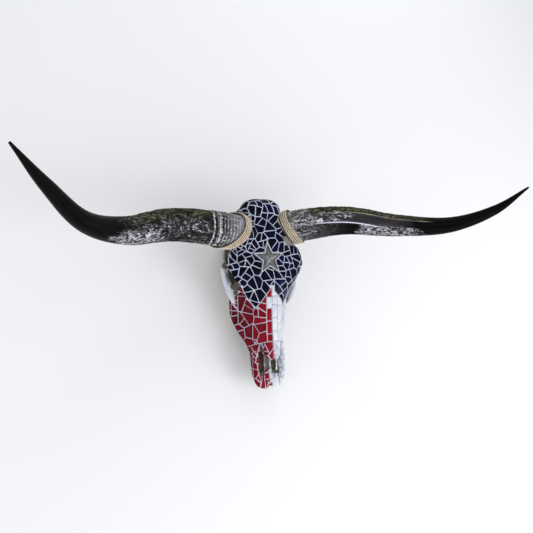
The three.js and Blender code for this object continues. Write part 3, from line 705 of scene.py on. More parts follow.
bone_tree = tree_of(bone_mesh)

# %% [markdown]
# ## The fields of the mosaic
# The mosaic is a layer of grout with glass pressed into it. Its surface is the bone's own surface, grown
# by the thickness of the grout. That surface is scored along the lines where a colour ends, and every
# face that lies over a hollow, or inside a bone that stands proud of the layer, is left out.

# %% The surface that the glass lies on
GROUT_LEVEL = 2.4
ground = relaxed(melted([mesh_of(outer_forms(GROUT_LEVEL))], 2.3), 6)
surface = bmesh.new()
surface.from_mesh(ground)
surface.normal_update()
print("layer to lay glass on:", len(surface.faces), "faces")

# %% [markdown]
# ## Where each colour ends
# The navy ends in a V on either side of the nose, so its edge zigzags across the face. The red and the
# white meet along the middle and stop above the gums. An edge is a few points, read off as straight
# pieces. One function then says which colour, if any, covers a point.

# %% Where each colour ends
FIELD_EDGE = [(0, -72), (43, -121), (84, -57), (96, -46), (118, -24), (200, -24)]
SIDE_EDGE = [(-400, 51), (-262, 51), (-230, 46), (-190, 40), (-150, 38), (0, 38)]
CHEEK_EDGE = [(84, -57), (104, -64), (114, -82), (130, -400)]
RIGHT_BROW = [(-78, 0), (-74, 106), (-62, 127), (-46, 138), (-28, 148), (-6, 150), (8, 146), (34, 0)]
HORN_SPOTS = {side: [(line.at(t / 100), between(HORN_STATIONS, HORN_RADII, t / 100)) for t in range(8, 40)]
              for side, line in HORN_LINE.items()}


def stepped(points, place):
    """A height read off straight pieces between points."""
    for (x0, y0), (x1, y1) in zip(points, points[1:]):
        if place <= x1:
            return y0 + (place - x0) / (x1 - x0) * (y1 - y0)
    return points[-1][1]


def field_at(p):
    """The colour of the mosaic at a point, or nothing where the bone is bare."""
    across = abs(p.x)
    for side in SIDES:
        beyond_root = p.dot(ROOT_NORMAL[side]) > ROOT_DISTANCE[side] - 1
        if beyond_root and min((p - spot).length - reach for spot, reach in HORN_SPOTS[side]) < 11:
            return None
    before_left_root = p.dot(ROOT_NORMAL["left"]) > ROOT_DISTANCE["left"] - 10  # a bare corner there
    if p.x > 50 and 46 < p.y < 70 and before_left_root:
        return None
    if p.x < 0 and p.z < stepped(RIGHT_BROW, p.y):
        return None
    if p.y > stepped(FIELD_EDGE, across):
        right_temple = 28 * smooth_step(2, 32, p.y) if p.x < 0 else 0
        low = 100 if across < 84 and p.y < 20 else NAVY_LOW + right_temple
        return "navy" if p.z > low and p.y < 190 else None
    if across > 84 and p.y > stepped(CHEEK_EDGE, across):
        return None
    inside_nose = across < 30 and -303 < p.y < -200 and p.z < 74
    bare_strip = 11 * smooth_step(-100, -125, p.y) * smooth_step(-262, -235, p.y) if p.x < 0 else 0
    if p.z < stepped(SIDE_EDGE, p.y) + bare_strip or inside_nose and across > 12:
        return None
    return "red" if p.x < 0 else "white"


# %% [markdown]
# ## Scoring the layer
# A colour's edge has to run along edges of the mesh, or it would look like saw teeth. So the layer is
# scored first: bmesh.ops.bisect_plane cuts it along a plane without taking anything away. Then each
# face gets its colour's number, and the faces that carry no glass are deleted.

# %% Score the layer and sort its faces
def score(bm, place, facing, inside):
    """Cuts a surface along a plane, only where inside(point) is true, and leaves all of it there."""
    faces = [f for f in bm.faces if inside(f.calc_center_median())]
    edges = dict.fromkeys(e for f in faces for e in f.edges)
    verts = dict.fromkeys(v for f in faces for v in f.verts)
    bmesh.ops.bisect_plane(bm, geom=[*verts, *edges, *faces], dist=1e-4, plane_co=place, plane_no=facing)


score(surface, (0, 0, 0), (1, 0, 0), lambda p: p.y < -68 and p.z > 40 and abs(p.x) < 6)
for s in (1, -1):
    for (x0, y0), (x1, y1) in [*zip(FIELD_EDGE, FIELD_EDGE[1:]), *zip(CHEEK_EDGE, CHEEK_EDGE[1:-1])]:
        score(surface, (s * x0, y0, 0), (s * (y0 - y1), x1 - x0, 0),
              lambda p: x0 - 3 < s * p.x < x1 + 3 and min(y0, y1) - 6 < p.y < max(y0, y1) + 6 and p.z > 70)
for (y0, z0), (y1, z1) in zip(SIDE_EDGE, SIDE_EDGE[1:]):
    score(surface, (0, y0, z0), (0, z0 - z1, y1 - y0),
          lambda p: y0 - 3 < p.y < y1 + 3 and abs(p.z - z0) < 12)
score(surface, (0, 0, NAVY_LOW), (0, 0, 1), lambda p: p.y > -60 and abs(p.z - NAVY_LOW) < 6)

FIELDS = ["navy", "red", "white"]
LOWEST, HIGHEST, FARTHEST = 1, 4.4, 4.6  # of the layer over the bone
unwanted = []
for face in surface.faces:
    middle = face.calc_center_median()
    field = field_at(middle)
    near, _, _, distance = bone_tree.find_nearest(middle)
    above = (middle - near).dot(face.normal)
    if field is None or not LOWEST < above < HIGHEST or distance > FARTHEST:
        unwanted.append(face)
    else:
        face.material_index = FIELDS.index(field)
bmesh.ops.delete(surface, geom=unwanted, context="FACES")
print("mosaic:", round(sum(f.calc_area() for f in surface.faces) / 100), "cm2")

# %% [markdown]
# ## Scraps and ragged edges
# Sorting leaves small scraps beside the hollows, and an edge that steps from face to face. A scrap is an
# island: a group of faces joined to one another and to nothing else. Small ones go. Then each vertex on
# the edge moves halfway to the middle of its neighbours, a few times over.

# %% Clear the scraps and ease the edges
SCRAP = 400


def islands(bm):
    """The connected groups of faces."""
    seen, groups = set(), []
    for first in bm.faces:
        if first in seen:
            continue
        seen.add(first)
        stack, group = [first], []
        while stack:
            face = stack.pop()
            group.append(face)
            for edge in face.edges:
                for other in edge.link_faces:
                    if other not in seen:
                        seen.add(other)
                        stack.append(other)
        groups.append(group)
    return groups


for group in islands(surface):
    if sum(f.calc_area() for f in group) < SCRAP:
        bmesh.ops.delete(surface, geom=group, context="FACES")
for _ in range(4):
    edge_verts = [v for v in surface.verts if v.is_boundary]
    moved = {}
    for vert in edge_verts:
        beside = [e.other_vert(vert).co for e in vert.link_edges if e.is_boundary]
        if len(beside) == 2:
            moved[vert] = vert.co.lerp((beside[0] + beside[1]) / 2, 0.5)
    for vert, place in moved.items():
        vert.co = place
print("left after the scraps:", len(surface.faces), "faces in", len(islands(surface)), "islands")

# %% [markdown]
# ## Cutting the glass
# A maker breaks a sheet of glass and fits the pieces together, so no two tiles are alike and joints meet
# three at a time. A Voronoi pattern does the same on a curved surface: points are thrown at a field, and
# each point gets the part of it that is nearer to that point than to any other, which is cut out with
# bmesh.ops.bisect_plane. Some of these cells are then nipped in two, as a maker does with a large piece.

# %% A patch and how it lies
def patch_of(faces):
    """A copy of some of the surface's faces."""
    part = bmesh.new()
    places = {}
    for face in faces:
        corners = []
        for vert in face.verts:
            if vert not in places:
                places[vert] = part.verts.new(vert.co)
            corners.append(places[vert])
        part.faces.new(corners)
    part.normal_update()
    return part


def lie_of(patch, stretch=(1, 1, 1)):
    """A patch's area, middle, facing, its longer way and the way across that."""
    area, middle, facing = 0, Vector(), Vector()
    spots = []
    for face in patch.faces:
        size, centre = face.calc_area(), face.calc_center_median()
        spots.append((size, centre))
        area += size
        middle += centre * size
        facing += face.normal * size
    middle /= area or 1
    facing.normalize()
    u = facing.orthogonal().normalized()
    v = facing.cross(u)
    xx = xy = yy = 0
    for size, centre in spots:
        away = Vector(a * b for a, b in zip(centre - middle, stretch))
        x, y = away.dot(u), away.dot(v)
        xx, xy, yy = xx + size * x * x, xy + size * x * y, yy + size * y * y
    turn = 0.5 * math.atan2(2 * xy, xx - yy)
    longer = u * math.cos(turn) + v * math.sin(turn)
    return area, middle, facing, longer, facing.cross(longer)


# %% [markdown]
# ## Nipping a piece in two
# A piece is nipped across its longer way, near the middle and a little askew. bisect_plane cuts a copy
# of the patch twice, once for each side. Nipping goes on until a part is both small and flat enough for
# one tile. The chance that sets each cut comes from a seeded generator, so that every run gives
# the same mosaic.

# %% Split a patch into small parts
TILE_FLATNESS = 8
SMALL, SMALLEST = 160, 90


def half_of(patch, place, facing, keep_outer):
    """What lies on one side of a plane."""
    part = patch.copy()
    everything = part.verts[:] + part.edges[:] + part.faces[:]
    bmesh.ops.bisect_plane(part, geom=everything, dist=1e-4, plane_co=place, plane_no=facing,
                           clear_inner=keep_outer, clear_outer=not keep_outer)
    return part


def halved(part, chance, stretch=(1, 1, 1), slant=0.42):
    """The two halves of a patch, cut across its longer way at a slant. The patch is used up."""
    _, middle, _, longer, across = lie_of(part, stretch)
    reach = [(v.co - middle).dot(longer) for v in part.verts]
    place = middle + longer * (chance.uniform(-0.09, 0.09) * (max(reach) - min(reach)))
    turn = chance.uniform(-slant, slant)
    cut = longer * math.cos(turn) + across * math.sin(turn)
    halves = [half_of(part, place, cut, True), half_of(part, place, cut, False)]
    part.free()
    return [half for half in halves if half.faces]


def split(patch, size, chance, stretch=(1, 1, 1), slant=0.42, flat=TILE_FLATNESS):
    """The patch as a list of small parts. The patch is used up."""
    waiting, parts = [patch] if patch.faces else [], []
    while waiting:
        part = waiting.pop()
        area, middle, facing, _, _ = lie_of(part)
        heights = [(v.co - middle).dot(facing) for v in part.verts]
        bent = max(heights) - min(heights)
        if area < size * chance.uniform(0.6, 1.35) and (bent < flat or area < SMALL) or area < SMALLEST:
            parts.append(part)
        else:
            waiting += halved(part, chance, stretch, slant)
    return parts


# %% [markdown]
# ## Voronoi cells
# A point is thrown at a face's middle, and kept if no earlier one is near. Each seed's cell starts as
# the faces that might be nearest to it, and the plane halfway to every neighbour cuts the rest away. A
# KDTree finds the neighbours quickly, as testing every pair would be slow.

# %% Voronoi cells on a patch
def thrown(patch, apart, chance):
    """Points spread over a patch, none of them nearer to another than a distance."""
    faces = patch.faces[:]
    chance.shuffle(faces)
    seeds = []
    for face in faces:
        spot = face.calc_center_median()
        if all((spot - other).length_squared > apart * apart for other in seeds):
            seeds.append(spot)
    return seeds


def cells_of(patch, apart, chance):
    """The patch as Voronoi cells. The patch is used up."""
    seeds = thrown(patch, apart, chance)
    tree = KDTree(len(seeds))
    for k, seed in enumerate(seeds):
        tree.insert(seed, k)
    tree.balance()
    near, beside = [[] for _ in seeds], [set() for _ in seeds]
    for face in patch.faces:
        spot = face.calc_center_median()
        found = [k for _, k, _ in tree.find_range(spot, tree.find(spot)[2] + 5)]
        for k in found:
            near[k].append(face)
            beside[k].update(found)
    cells = []
    for k, seed in enumerate(seeds):
        cell = patch_of(near[k])
        for other in sorted(beside[k] - {k}):
            cut = half_of(cell, (seed + seeds[other]) / 2, seeds[other] - seed, False)
            cell.free()
            cell = cut
        cells.append(cell)
    patch.free()
    return cells


# %% [markdown]
# ## The outline of a tile
# Broken glass has straight edges. So a part's ragged edge is walked round, reduced to the few corners
# that matter, and drawn in by half a joint. Inset would do the last step on a tidy face, but it folds
# over where a side is short. Clipping the outline by one line after another never does.

# %% The outline of a tile
SHORT_SIDE, SHORTEST, SLACK, SMALL_TILE = 1.2, 1.0, 1.1, 14


def edge_loops(patch):
    """The patch's edges as closed rings of points, the longest first."""
    ways = {}
    for edge in patch.edges:
        if edge.is_boundary:
            for vert in edge.verts:
                ways.setdefault(vert, []).append(edge.other_vert(vert))
    loops = []
    while ways:
        start = next(iter(ways))
        loop, vert = [start], start
        while True:
            onwards = [v for v in ways.pop(vert) if v in ways]
            if not onwards:
                break
            vert = onwards[0]
            loop.append(vert)
        loops.append([v.co.copy() for v in loop])
    return sorted(loops, key=len, reverse=True)


def simpler(points, slack):
    """The few points of an open chain that matter: the rest lie within slack of its straight pieces."""
    if len(points) < 3:
        return points
    first, last = points[0], points[-1]
    way = last - first
    length = way.length or 1
    off = [abs((p - first).x * way.y - (p - first).y * way.x) / length for p in points]
    k = max(range(len(points)), key=off.__getitem__)
    if off[k] < slack:
        return [first, last]
    return simpler(points[:k + 1], slack)[:-1] + simpler(points[k:], slack)


def clipped(outline, place, away):
    """A flat outline without what lies beyond a line."""
    kept = []
    for i, p in enumerate(outline):
        q = outline[(i + 1) % len(outline)]
        a, b = (p - place).dot(away), (q - place).dot(away)
        if a <= 0:
            kept.append(p)
        if a * b < 0:
            kept.append(p.lerp(q, a / (a - b)))
    return kept


def area_of(outline):
    """The area inside a flat outline, below zero where it runs clockwise."""
    return sum(p.x * q.y - q.x * p.y for p, q in zip(outline, outline[1:] + outline[:1])) / 2


def tile_outline(patch, middle, u, v, inset):
    """The straight-edged outline of a tile, drawn in from the patch's edge by half a joint."""
    loops = edge_loops(patch)
    if not loops or len(loops[0]) < 3:
        return []
    flat = [Vector(((p - middle).dot(u), (p - middle).dot(v))) for p in loops[0]]
    far = max(range(len(flat)), key=lambda i: (flat[i] - flat[0]).length)
    corners = simpler(flat[:far + 1], SLACK)[:-1] + simpler(flat[far:] + flat[:1], SLACK)[:-1]
    if len(corners) < 3:
        return []
    if area_of(corners) < 0:
        corners.reverse()
    outline = corners
    for p, q in zip(corners, corners[1:] + corners[:1]):
        side = q - p
        if side.length > SHORT_SIDE:
            away = Vector((side.y, -side.x)).normalized()
            outline = clipped(outline, p - away * inset, away)
            if len(outline) < 3:
                return []
    tidy = []
    for i, p in enumerate(outline):
        if (p - outline[i - 1]).length > SHORTEST:
            tidy.append(p)
    return tidy if len(tidy) > 2 and area_of(tidy) > SMALL_TILE else []


# %% [markdown]
# ## A tile
# The outline is extruded to a plate, its top edges are bevelled, and it is tipped by a degree or so,
# because nobody sets glass perfectly level. Where the skull is too round for a flat plate, the plate
# is scored across and bent over the layer, as if the glass had slumped in a kiln.

# %% Raise and bend a tile
PROUD, PLATE, SOFT_EDGE = 0.75, 4.2, 0.55  # above the grout, thickness and bevel
ROUND_GROUND = 1.6
RAY_START, MOST_BENT, MOST_TILT = 16, 7, 0.02
ground_tree = tree_of(ground)


def slump(bm, middle, facing, ways):
    """Bends a plate over the grout's surface, where the skull is too round for a flat one."""
    for way in ways:
        reach = max(abs((v.co - middle).dot(way)) for v in bm.verts)
        for share in (-0.66, -0.33, 0, 0.33, 0.66):
            bmesh.ops.bisect_plane(bm, geom=bm.verts[:] + bm.edges[:] + bm.faces[:], dist=1e-4,
                                   plane_co=middle + way * (share * reach), plane_no=way)
    for vert in bm.verts:
        flat = vert.co - facing * (vert.co - middle).dot(facing)
        hit = ground_tree.ray_cast(flat + facing * RAY_START, -facing, 2 * RAY_START)
        if hit[0] is not None:
            vert.co += facing * max(-MOST_BENT, min(MOST_BENT, RAY_START - hit[3]))


def tile(patch, outline, chance, value):
    """A piece of glass with softened edges, sunk in the grout over its patch."""
    _, middle, facing, u, v = lie_of(patch)
    heights = [(w.co - middle).dot(facing) for w in patch.verts]
    bent = max(heights) - min(heights) > ROUND_GROUND
    low = (0 if bent else max(heights)) + PROUD - PLATE
    bm = bmesh.new()
    # every face keeps its tile's tone: part luck, part painted shade
    tone_and_shade = bm.faces.layers.float.new("tone_and_shade")
    foot = bm.faces.new([bm.verts.new(middle + u * p.x + v * p.y + facing * low) for p in outline])
    lifted = bmesh.ops.extrude_face_region(bm, geom=[foot], use_keep_orig=True)["geom"]
    crown = [g for g in lifted if isinstance(g, bmesh.types.BMFace)][0]
    tilt = Vector((chance.uniform(-1, 1), chance.uniform(-1, 1))) * MOST_TILT
    for vert in crown.verts:
        away = vert.co - middle
        vert.co += facing * (PLATE + away.dot(u) * tilt.x + away.dot(v) * tilt.y)
    bmesh.ops.bevel(bm, geom=crown.edges[:], offset=SOFT_EDGE, offset_type="OFFSET", segments=2,
                    profile=0.5, affect="EDGES", material=-1, clamp_overlap=True)
    face_outwards(bm)
    if bent:
        slump(bm, middle, facing, (u, v))
    for face in bm.faces:
        face[tone_and_shade] = value
    return bm


# %% [markdown]
# ## Glazing a part
# A part that bends round a corner or has an odd shape leaves much of itself bare under one straight
# edged tile. Such a part is nipped once more and each half is tried again.

# %% Glaze a part
MOST_BARE, WORTH_NIPPING = 0.48, 130


def glazed(part, chance, inset, tone_and_shade_at, stretch=(1, 1, 1)):
    """The tiles for a part: one, or several where a single one would leave much of it bare."""
    plates = []
    for group in islands(part):
        piece = patch_of(group)
        area, middle, _, u, v = lie_of(piece)
        outline = tile_outline(piece, middle, u, v, inset)
        bare = area - (area_of(outline) if outline else 0)
        if area > WORTH_NIPPING and bare > MOST_BARE * area:
            for half in halved(piece, chance, stretch):
                plates += glazed(half, chance, inset, tone_and_shade_at, stretch)
            continue
        if outline:
            plates.append(tile(piece, outline, chance, tone_and_shade_at(middle, chance.random())))
        piece.free()
    part.free()
    return plates


# %% [markdown]
# ## The navy glass
# The navy pieces are the darkest and the most mixed in size, smaller close to the star. A piece at the
# star is cut to fit it. The star isn't a convex shape, so it can't be cut away with one plane. Between
# the lines to two of its tips, though, what lies outside it is bounded by planes alone.

# %% Fit the navy glass round the star
STAR_CENTRE = Vector((-2, 8, 174))
STAR_RADIUS, STAR_INNER, STAR_TILT = 50, 21, 0.13
STAR_JOINT = 1.2
NAVY_APART, NAVY_LARGEST, STARSIDE_LARGEST = 31, 840, 560


def spoke(k):
    """The way from the star's middle at tenths of a turn: even ones point to its tips."""
    angle = math.tau * k / 10
    return Vector((math.sin(angle), math.cos(angle), 0))


def kept(patch, cuts):
    """What is left of a patch after several cuts: each is (place, facing), and the facing side stays."""
    for place, facing in cuts:
        rest = half_of(patch, place, facing, True)
        patch.free()
        patch = rest
    return patch


def round_star(cell):
    """The parts of a cell that lie outside the star. Each lies between the lines to two tips."""
    parts = []
    for k in range(0, 10, 2):
        start, end = spoke(k), spoke(k + 2)
        notch = STAR_CENTRE + spoke(k + 1) * (STAR_INNER + STAR_JOINT)
        cuts = [(STAR_CENTRE, Vector((start.y, -start.x, 0))), (STAR_CENTRE, Vector((-end.y, end.x, 0)))]
        for way in (start, end):
            along = way * (STAR_RADIUS + STAR_JOINT) + STAR_CENTRE - notch
            outward = Vector((along.y, -along.x, 0))
            cuts.append((notch, outward if outward.dot(notch - STAR_CENTRE) > 0 else -outward))
        part = kept(cell.copy(), cuts)
        if part.faces:
            parts.append(part)
    cell.free()
    return parts


def touches_star(cell):
    """Whether any of a cell comes as near to the star's middle as its tips are."""
    flat = [(v.co - STAR_CENTRE).to_2d().length for v in cell.verts]
    return bool(flat) and min(flat) < STAR_RADIUS + 2


chance = random.Random(31)
navy_patch = patch_of([f for f in surface.faces if f.material_index == 0])
parts_of = {"navy": []}
for cell in cells_of(navy_patch, NAVY_APART, chance):
    star_near = touches_star(cell)
    for part in round_star(cell) if star_near else [cell]:
        largest = STARSIDE_LARGEST if star_near else NAVY_LARGEST
        parts_of["navy"] += split(part, largest, chance, slant=0.5)
print("navy parts:", len(parts_of["navy"]))

# %% [markdown]
# ## The red and the white glass
# Beside the middle of the face the glass is laid in straight columns of bricks, and further out in
# broken pieces. At the nose the pieces are drawn out lengthwise. Planes across the face make the
# bricks, and the Voronoi cells and nips above make the rest.

# %% Lay the red and the white in columns and strips
COLUMN_CUTS = {"red": [-98, -130, -164, -200, -234], "white": [-99, -121, -153, -188, -222]}
COLUMN_EDGES = {"red": [-16], "white": [17, 34]}
NOSE_START = -218
LENGTHWISE = (1.6, 0.8, 1.6)
FACE_APART, FACE_LARGEST, NOSE_LARGEST = 38, 1000, 820


def sliced(patches, places, facing):
    """The patches cut at several planes that face one way."""
    for place in places:
        cut = []
        for patch in patches:
            cut += [half_of(patch, place, facing, True), half_of(patch, place, facing, False)]
            patch.free()
        patches = [p for p in cut if p.faces]
    return patches


for name in ("red", "white"):
    whole = patch_of([f for f in surface.faces if f.material_index == FIELDS.index(name)])
    front = half_of(whole, Vector((0, NOSE_START, 0)), Vector((0, 1, 0)), False)
    back = half_of(whole, Vector((0, NOSE_START, 0)), Vector((0, 1, 0)), True)
    whole.free()
    found = split(front, NOSE_LARGEST, chance, LENGTHWISE, slant=0.12, flat=16)
    for strip in sliced([back], [Vector((x, 0, 0)) for x in COLUMN_EDGES[name]], Vector((1, 0, 0))):
        middle = lie_of(strip)[1]
        if abs(middle.x) < (14 if name == "red" else 26):
            shift = 0 if abs(middle.x) < 12 else 15
            places = [Vector((0, y + shift + chance.uniform(-3, 3), 0)) for y in COLUMN_CUTS[name]]
            found += sliced([strip], places, Vector((chance.uniform(-0.12, 0.12), 1, 0)).normalized())
        else:
            for cell in cells_of(strip, FACE_APART, chance):
                found += split(cell, FACE_LARGEST, chance, slant=0.5)
    parts_of[name] = found
    print(name, "parts:", len(found))

# %% [markdown]
# ## Setting the tiles
# A tile's tone is a number from 0 to 1: partly luck, and partly painted shade by where it lies. The navy
# is painted lighter towards the animal's left, where the key lamp stands, the red darker on the shaded
# right cheek and the white darker on its outer side. The white tiles are set closer than the coloured
# ones. One brick beside the middle of the red is white.

# %% Set the tiles
GROUT_HALF, FINE_HALF = 1.2, 0.8  # half a joint's width
WHITE_BRICK = (-130, -98)
# painted shade: besides luck, each tone rises or falls across the face as the lamp's light would
TONE_AND_SHADE = {
    "navy": lambda place, luck: 0.6 * luck + 0.4 * smooth_step(-50, 60, place.x),
    "red": lambda place, luck: 0.35 * luck + 0.65 * smooth_step(-80, -20, place.x),
    "white": lambda place, luck: 0.5 * luck + 0.5 * smooth_step(60, 20, place.x),
}
tiles = {name: [] for name in FIELDS}
for name, parts in parts_of.items():
    for part in parts:
        if not part.faces:
            continue
        middle = lie_of(part)[1]
        whitened = name == "red" and middle.x > -15 and WHITE_BRICK[0] < middle.y < WHITE_BRICK[1]
        look = "white" if whitened else name
        stretch = LENGTHWISE if middle.y < NOSE_START else (1, 1, 1)
        joint = FINE_HALF if name == "white" or middle.y < NOSE_START else GROUT_HALF
        tiles[look] += glazed(part, chance, joint, TONE_AND_SHADE[look], stretch)
print("tiles:", {name: len(found) for name, found in tiles.items()})

# %% [markdown]
# ## The grout
# Grout is pressed between the tiles and wiped level, so it is one thin, slightly uneven layer whose
# edges are rounded down onto the bone. The scored surface already has its shape: its outermost rings of
# vertices are sunk, and a Solidify modifier gives it the thickness. Under the star it is left out, so it
# is scored along the star's ten sides first.

# %% Leave out the grout under the star
bed = surface.copy()
corners = [STAR_CENTRE + spoke(k) * ((STAR_INNER if k % 2 else STAR_RADIUS) + GAP) for k in range(10)]
for corner, following in zip(corners, corners[1:] + corners[:1]):
    run = following - corner
    score(bed, corner, (run.y, -run.x, 0), lambda p: (p - corner.lerp(following, 0.5)).to_2d().length < 24)
socket = []
for face in bed.faces:
    place = face.calc_center_median()
    away = (place - STAR_CENTRE).to_2d()
    k = int(math.atan2(away.x, away.y) / math.tau * 10 % 10)
    side = (corners[(k + 1) % 10] - corners[k]).to_2d()
    inward = (STAR_CENTRE - corners[k]).to_2d().cross(side)
    if (place - corners[k]).to_2d().cross(side) * inward > 0 and away.length < STAR_RADIUS + 1:
        socket.append(face)
bmesh.ops.delete(bed, geom=socket, context="FACES")
bed.normal_update()
print("grout bed:", len(bed.faces), "faces,", len(socket), "left out under the star")

# %% [markdown]
# ## The grout's edge and thickness
# The vertices on the edge are ring 0, their neighbours ring 1, and so on inwards. Each ring is sunk by
# its own amount, which rounds the edge off. Two attributes mark the joints of the red field, which are
# tinted mauve, and those of the white, which are streaked a darker grey.

# %% Sink the edge and thicken the grout
rosy, ashy = bed.verts.layers.float.new("rosy"), bed.verts.layers.float.new("ashy")
ring_of = {v: 0 for v in bed.verts if v.is_boundary}
front_line = list(ring_of)
while front_line and max(ring_of.values()) < 3:
    following = []
    for vert in front_line:
        for edge in vert.link_edges:
            other = edge.other_vert(vert)
            if other not in ring_of:
                ring_of[other] = ring_of[vert] + 1
                following.append(other)
    front_line = following
SINK = [2.9, 0.8, 0.2, 0]
for vert in bed.verts:
    uneven = 0.22 * noise.noise(vert.co * 0.12) + 0.12 * noise.noise(vert.co * 0.4)
    vert.co += vert.normal * (uneven - SINK[ring_of.get(vert, 3)])
    vert[rosy] = 1 if vert.link_faces and vert.link_faces[0].material_index == 1 else 0
    vert[ashy] = 1 if vert.link_faces and vert.link_faces[0].material_index == 2 else 0
for face in bed.faces:
    face.material_index = 0
bed_mesh = bpy.data.meshes.new("bed")
bed.to_mesh(bed_mesh)
bed.free()
layer = helper_object(bed_mesh)
wall = layer.modifiers.new("thickness", "SOLIDIFY")
wall.thickness = 1.8
wall.offset = -1
grout_mesh = settled(layer)
print("grout:", len(grout_mesh.polygons), "faces")

# %% [markdown]
# ## The star
# The real star is cast metal: a raised border round a sunk panel, and in the panel a ridge from the
# middle to each tip. It is made from a flat ten-sided circle whose every second corner is drawn in, then
# extruded, inset for the border, inset again downwards, and poked, which lifts the middle. Two attributes
# tell the finish where the panel is sunk, which gets painted shade, and where the rim is, which gets a
# painted highlight.

# %% Make the star
STAR_FOOT, STAR_TOP, STAR_PEAK = -14, 8.2, 12.6
BORDER, WALL, SUNK, CAST_EDGE = 1.9, 0.9, 3.4, 0.45
PANEL_BELOW, RIM_BELOW = 6.5, 8.6
star_bm = bmesh.new()
bmesh.ops.create_circle(star_bm, cap_ends=True, segments=10, radius=STAR_RADIUS)
for vert in star_bm.verts:
    tenth = round(math.atan2(vert.co.x, vert.co.y) / math.tau * 10)
    if tenth % 2:
        vert.co *= STAR_INNER / STAR_RADIUS
    vert.co.z = STAR_FOOT
sunk, rim = star_bm.verts.layers.float.new("sunk"), star_bm.verts.layers.float.new("rim")
foot = star_bm.faces[:][0]
lifted = bmesh.ops.extrude_face_region(star_bm, geom=[foot], use_keep_orig=True)["geom"]
crown = [g for g in lifted if isinstance(g, bmesh.types.BMFace)][0]
for vert in crown.verts:
    vert.co.z = STAR_TOP
border = crown.edges[:]
face_outwards(star_bm)
evenly = {"faces": [crown], "use_even_offset": True, "use_boundary": True}
bmesh.ops.inset_region(star_bm, thickness=BORDER, depth=0, **evenly)
inner_border = crown.edges[:]
bmesh.ops.inset_region(star_bm, thickness=WALL, depth=-SUNK, **evenly)
centre = bmesh.ops.poke(star_bm, faces=[crown])["verts"][0]
centre.co.z = STAR_PEAK
bmesh.ops.bevel(star_bm, geom=border + inner_border, offset=CAST_EDGE, offset_type="OFFSET", segments=2,
                profile=0.5, affect="EDGES", material=-1, clamp_overlap=True)
# sunk marks the panel for painted shade, rim the border's top for a painted highlight
for vert in star_bm.verts:
    vert[sunk] = 1 if vert.co.z < PANEL_BELOW else 0
    vert[rim] = 1 if PANEL_BELOW < vert.co.z < RIM_BELOW else 0
bmesh.ops.transform(star_bm, matrix=Matrix.Translation(STAR_CENTRE) @ Matrix.Rotation(STAR_TILT, 4, "X"),
                    verts=star_bm.verts)
face_outwards(star_bm)
print("star:", len(star_bm.faces), "faces")

# %% [markdown]
# ## The horns
# A horn is a sheath that grows outwards from its root, so its marks run two ways: rings across it near
# the root, where each year's growth ends, and fine lengthwise fibres. The outer half is worn and
# polished smooth. The upper edge is ragged, where the sheath has split and flaked. The same line and
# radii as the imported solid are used, with many more rings, and each point is moved a little in or out.

# %% Make the horns
HORN_LENGTH = {"left": 772, "right": 800}  # about as long as its line, to place the marks
GROWTH = 10.5  # from one ring to the next, in mm


def relief(side, along, turn, point):
    """How far the horn's surface stands in or out at one place."""
    distance = along * HORN_LENGTH[side]
    sway = noise.noise(point * 0.018)
    young = 1 - smooth_step(0.22, 0.3, along)
    phase = distance / GROWTH + 1.6 * sway
    strength = smooth_step(-0.35, 0.35, noise.noise(point * 0.035 + Vector((0, 0, 40))))
    ringed = ((0.5 + 0.5 * math.cos(math.tau * phase)) ** 3 - 0.3) * (0.25 + 0.75 * strength)
    upper = math.sin(math.tau * turn)
    ragged = (smooth_step(0.3, 0.85, upper) * smooth_step(0.14, 0.2, along)
              * (1 - smooth_step(0.4, 0.5, along)))
    fibre = noise.noise(Vector((distance * 0.02, math.cos(math.tau * turn) * 9, upper * 9)))
    worn = 1 - smooth_step(0.45, 0.6, along)
    out = young * ringed * (0.8 if side == "right" else 0.35) + fibre * (0.15 + 0.45 * worn)
    out += ragged * (1.7 * noise.noise(point * 0.05) + 1.1 * noise.noise(point * 0.17) - 0.3)
    flake = noise.noise(point * 0.08)
    out -= worn * 0.6 * smooth_step(0.12, 0.2, flake)
    return out * smooth_step(0, 0.05, 1 - along)


def horn(side):
    """The sheath with its relief, cut off at the root's plane and closed there."""
    def ring(along):
        points = []
        for k in range(96):
            point, outward = horn_point(side, along, k / 96)
            points.append(point + outward * relief(side, along, k / 96, point))
        return points

    bm = skin(ring, 340, 96)
    everything = bm.verts[:] + bm.edges[:] + bm.faces[:]
    root = ROOT_NORMAL[side] * (ROOT_DISTANCE[side] + GAP / 2)
    cut = bmesh.ops.bisect_plane(bm, geom=everything, plane_co=root, plane_no=ROOT_NORMAL[side],
                                 clear_inner=True)
    rims = [e for e in cut["geom_cut"] if isinstance(e, bmesh.types.BMEdge)]
    bmesh.ops.holes_fill(bm, edges=rims, sides=0)
    return face_outwards(bm)


# %% [markdown]
# ## The ropes
# Each rope is three strands laid round each other, wound side by side round the horn's root, four turns
# a rope's width apart. A strand's middle circles the rope's middle as the rope goes along, and a skin
# is pulled over each strand.

# %% The rope's route


def root_crossing(side, turn, distance, grow):
    """Where the line along the horn at this turn crosses the plane at this distance."""
    low, high = 0.0, 0.4
    for _ in range(22):
        middle = (low + high) / 2
        if horn_point(side, middle, turn, grow)[0].dot(ROOT_NORMAL[side]) < distance:
            low = middle
        else:
            high = middle
    return horn_point(side, low, turn, grow)


def rope_route(side, steps=48):
    """The rope's middle line, and the way out of the horn along it."""
    pitch, lift = 2 * ROPE_RADIUS + GAP, ROPE_RADIUS + ROPE_LIFT
    first = ROOT_DISTANCE[side] + ROPE_RADIUS + GAP
    start = 0.5 if side == "left" else 0
    points, outs = [], []
    for i in range(steps * ROPE_TURNS + 1):
        wound = i / steps
        _, outward = root_crossing(side, start + wound, first, lift)
        slant = math.sqrt(1 - outward.dot(ROOT_NORMAL[side]) ** 2)
        point, outward = root_crossing(side, start + wound, first + wound * pitch * slant, lift)
        points.append(point)
        outs.append(outward)
    return Line(points), Line(outs)
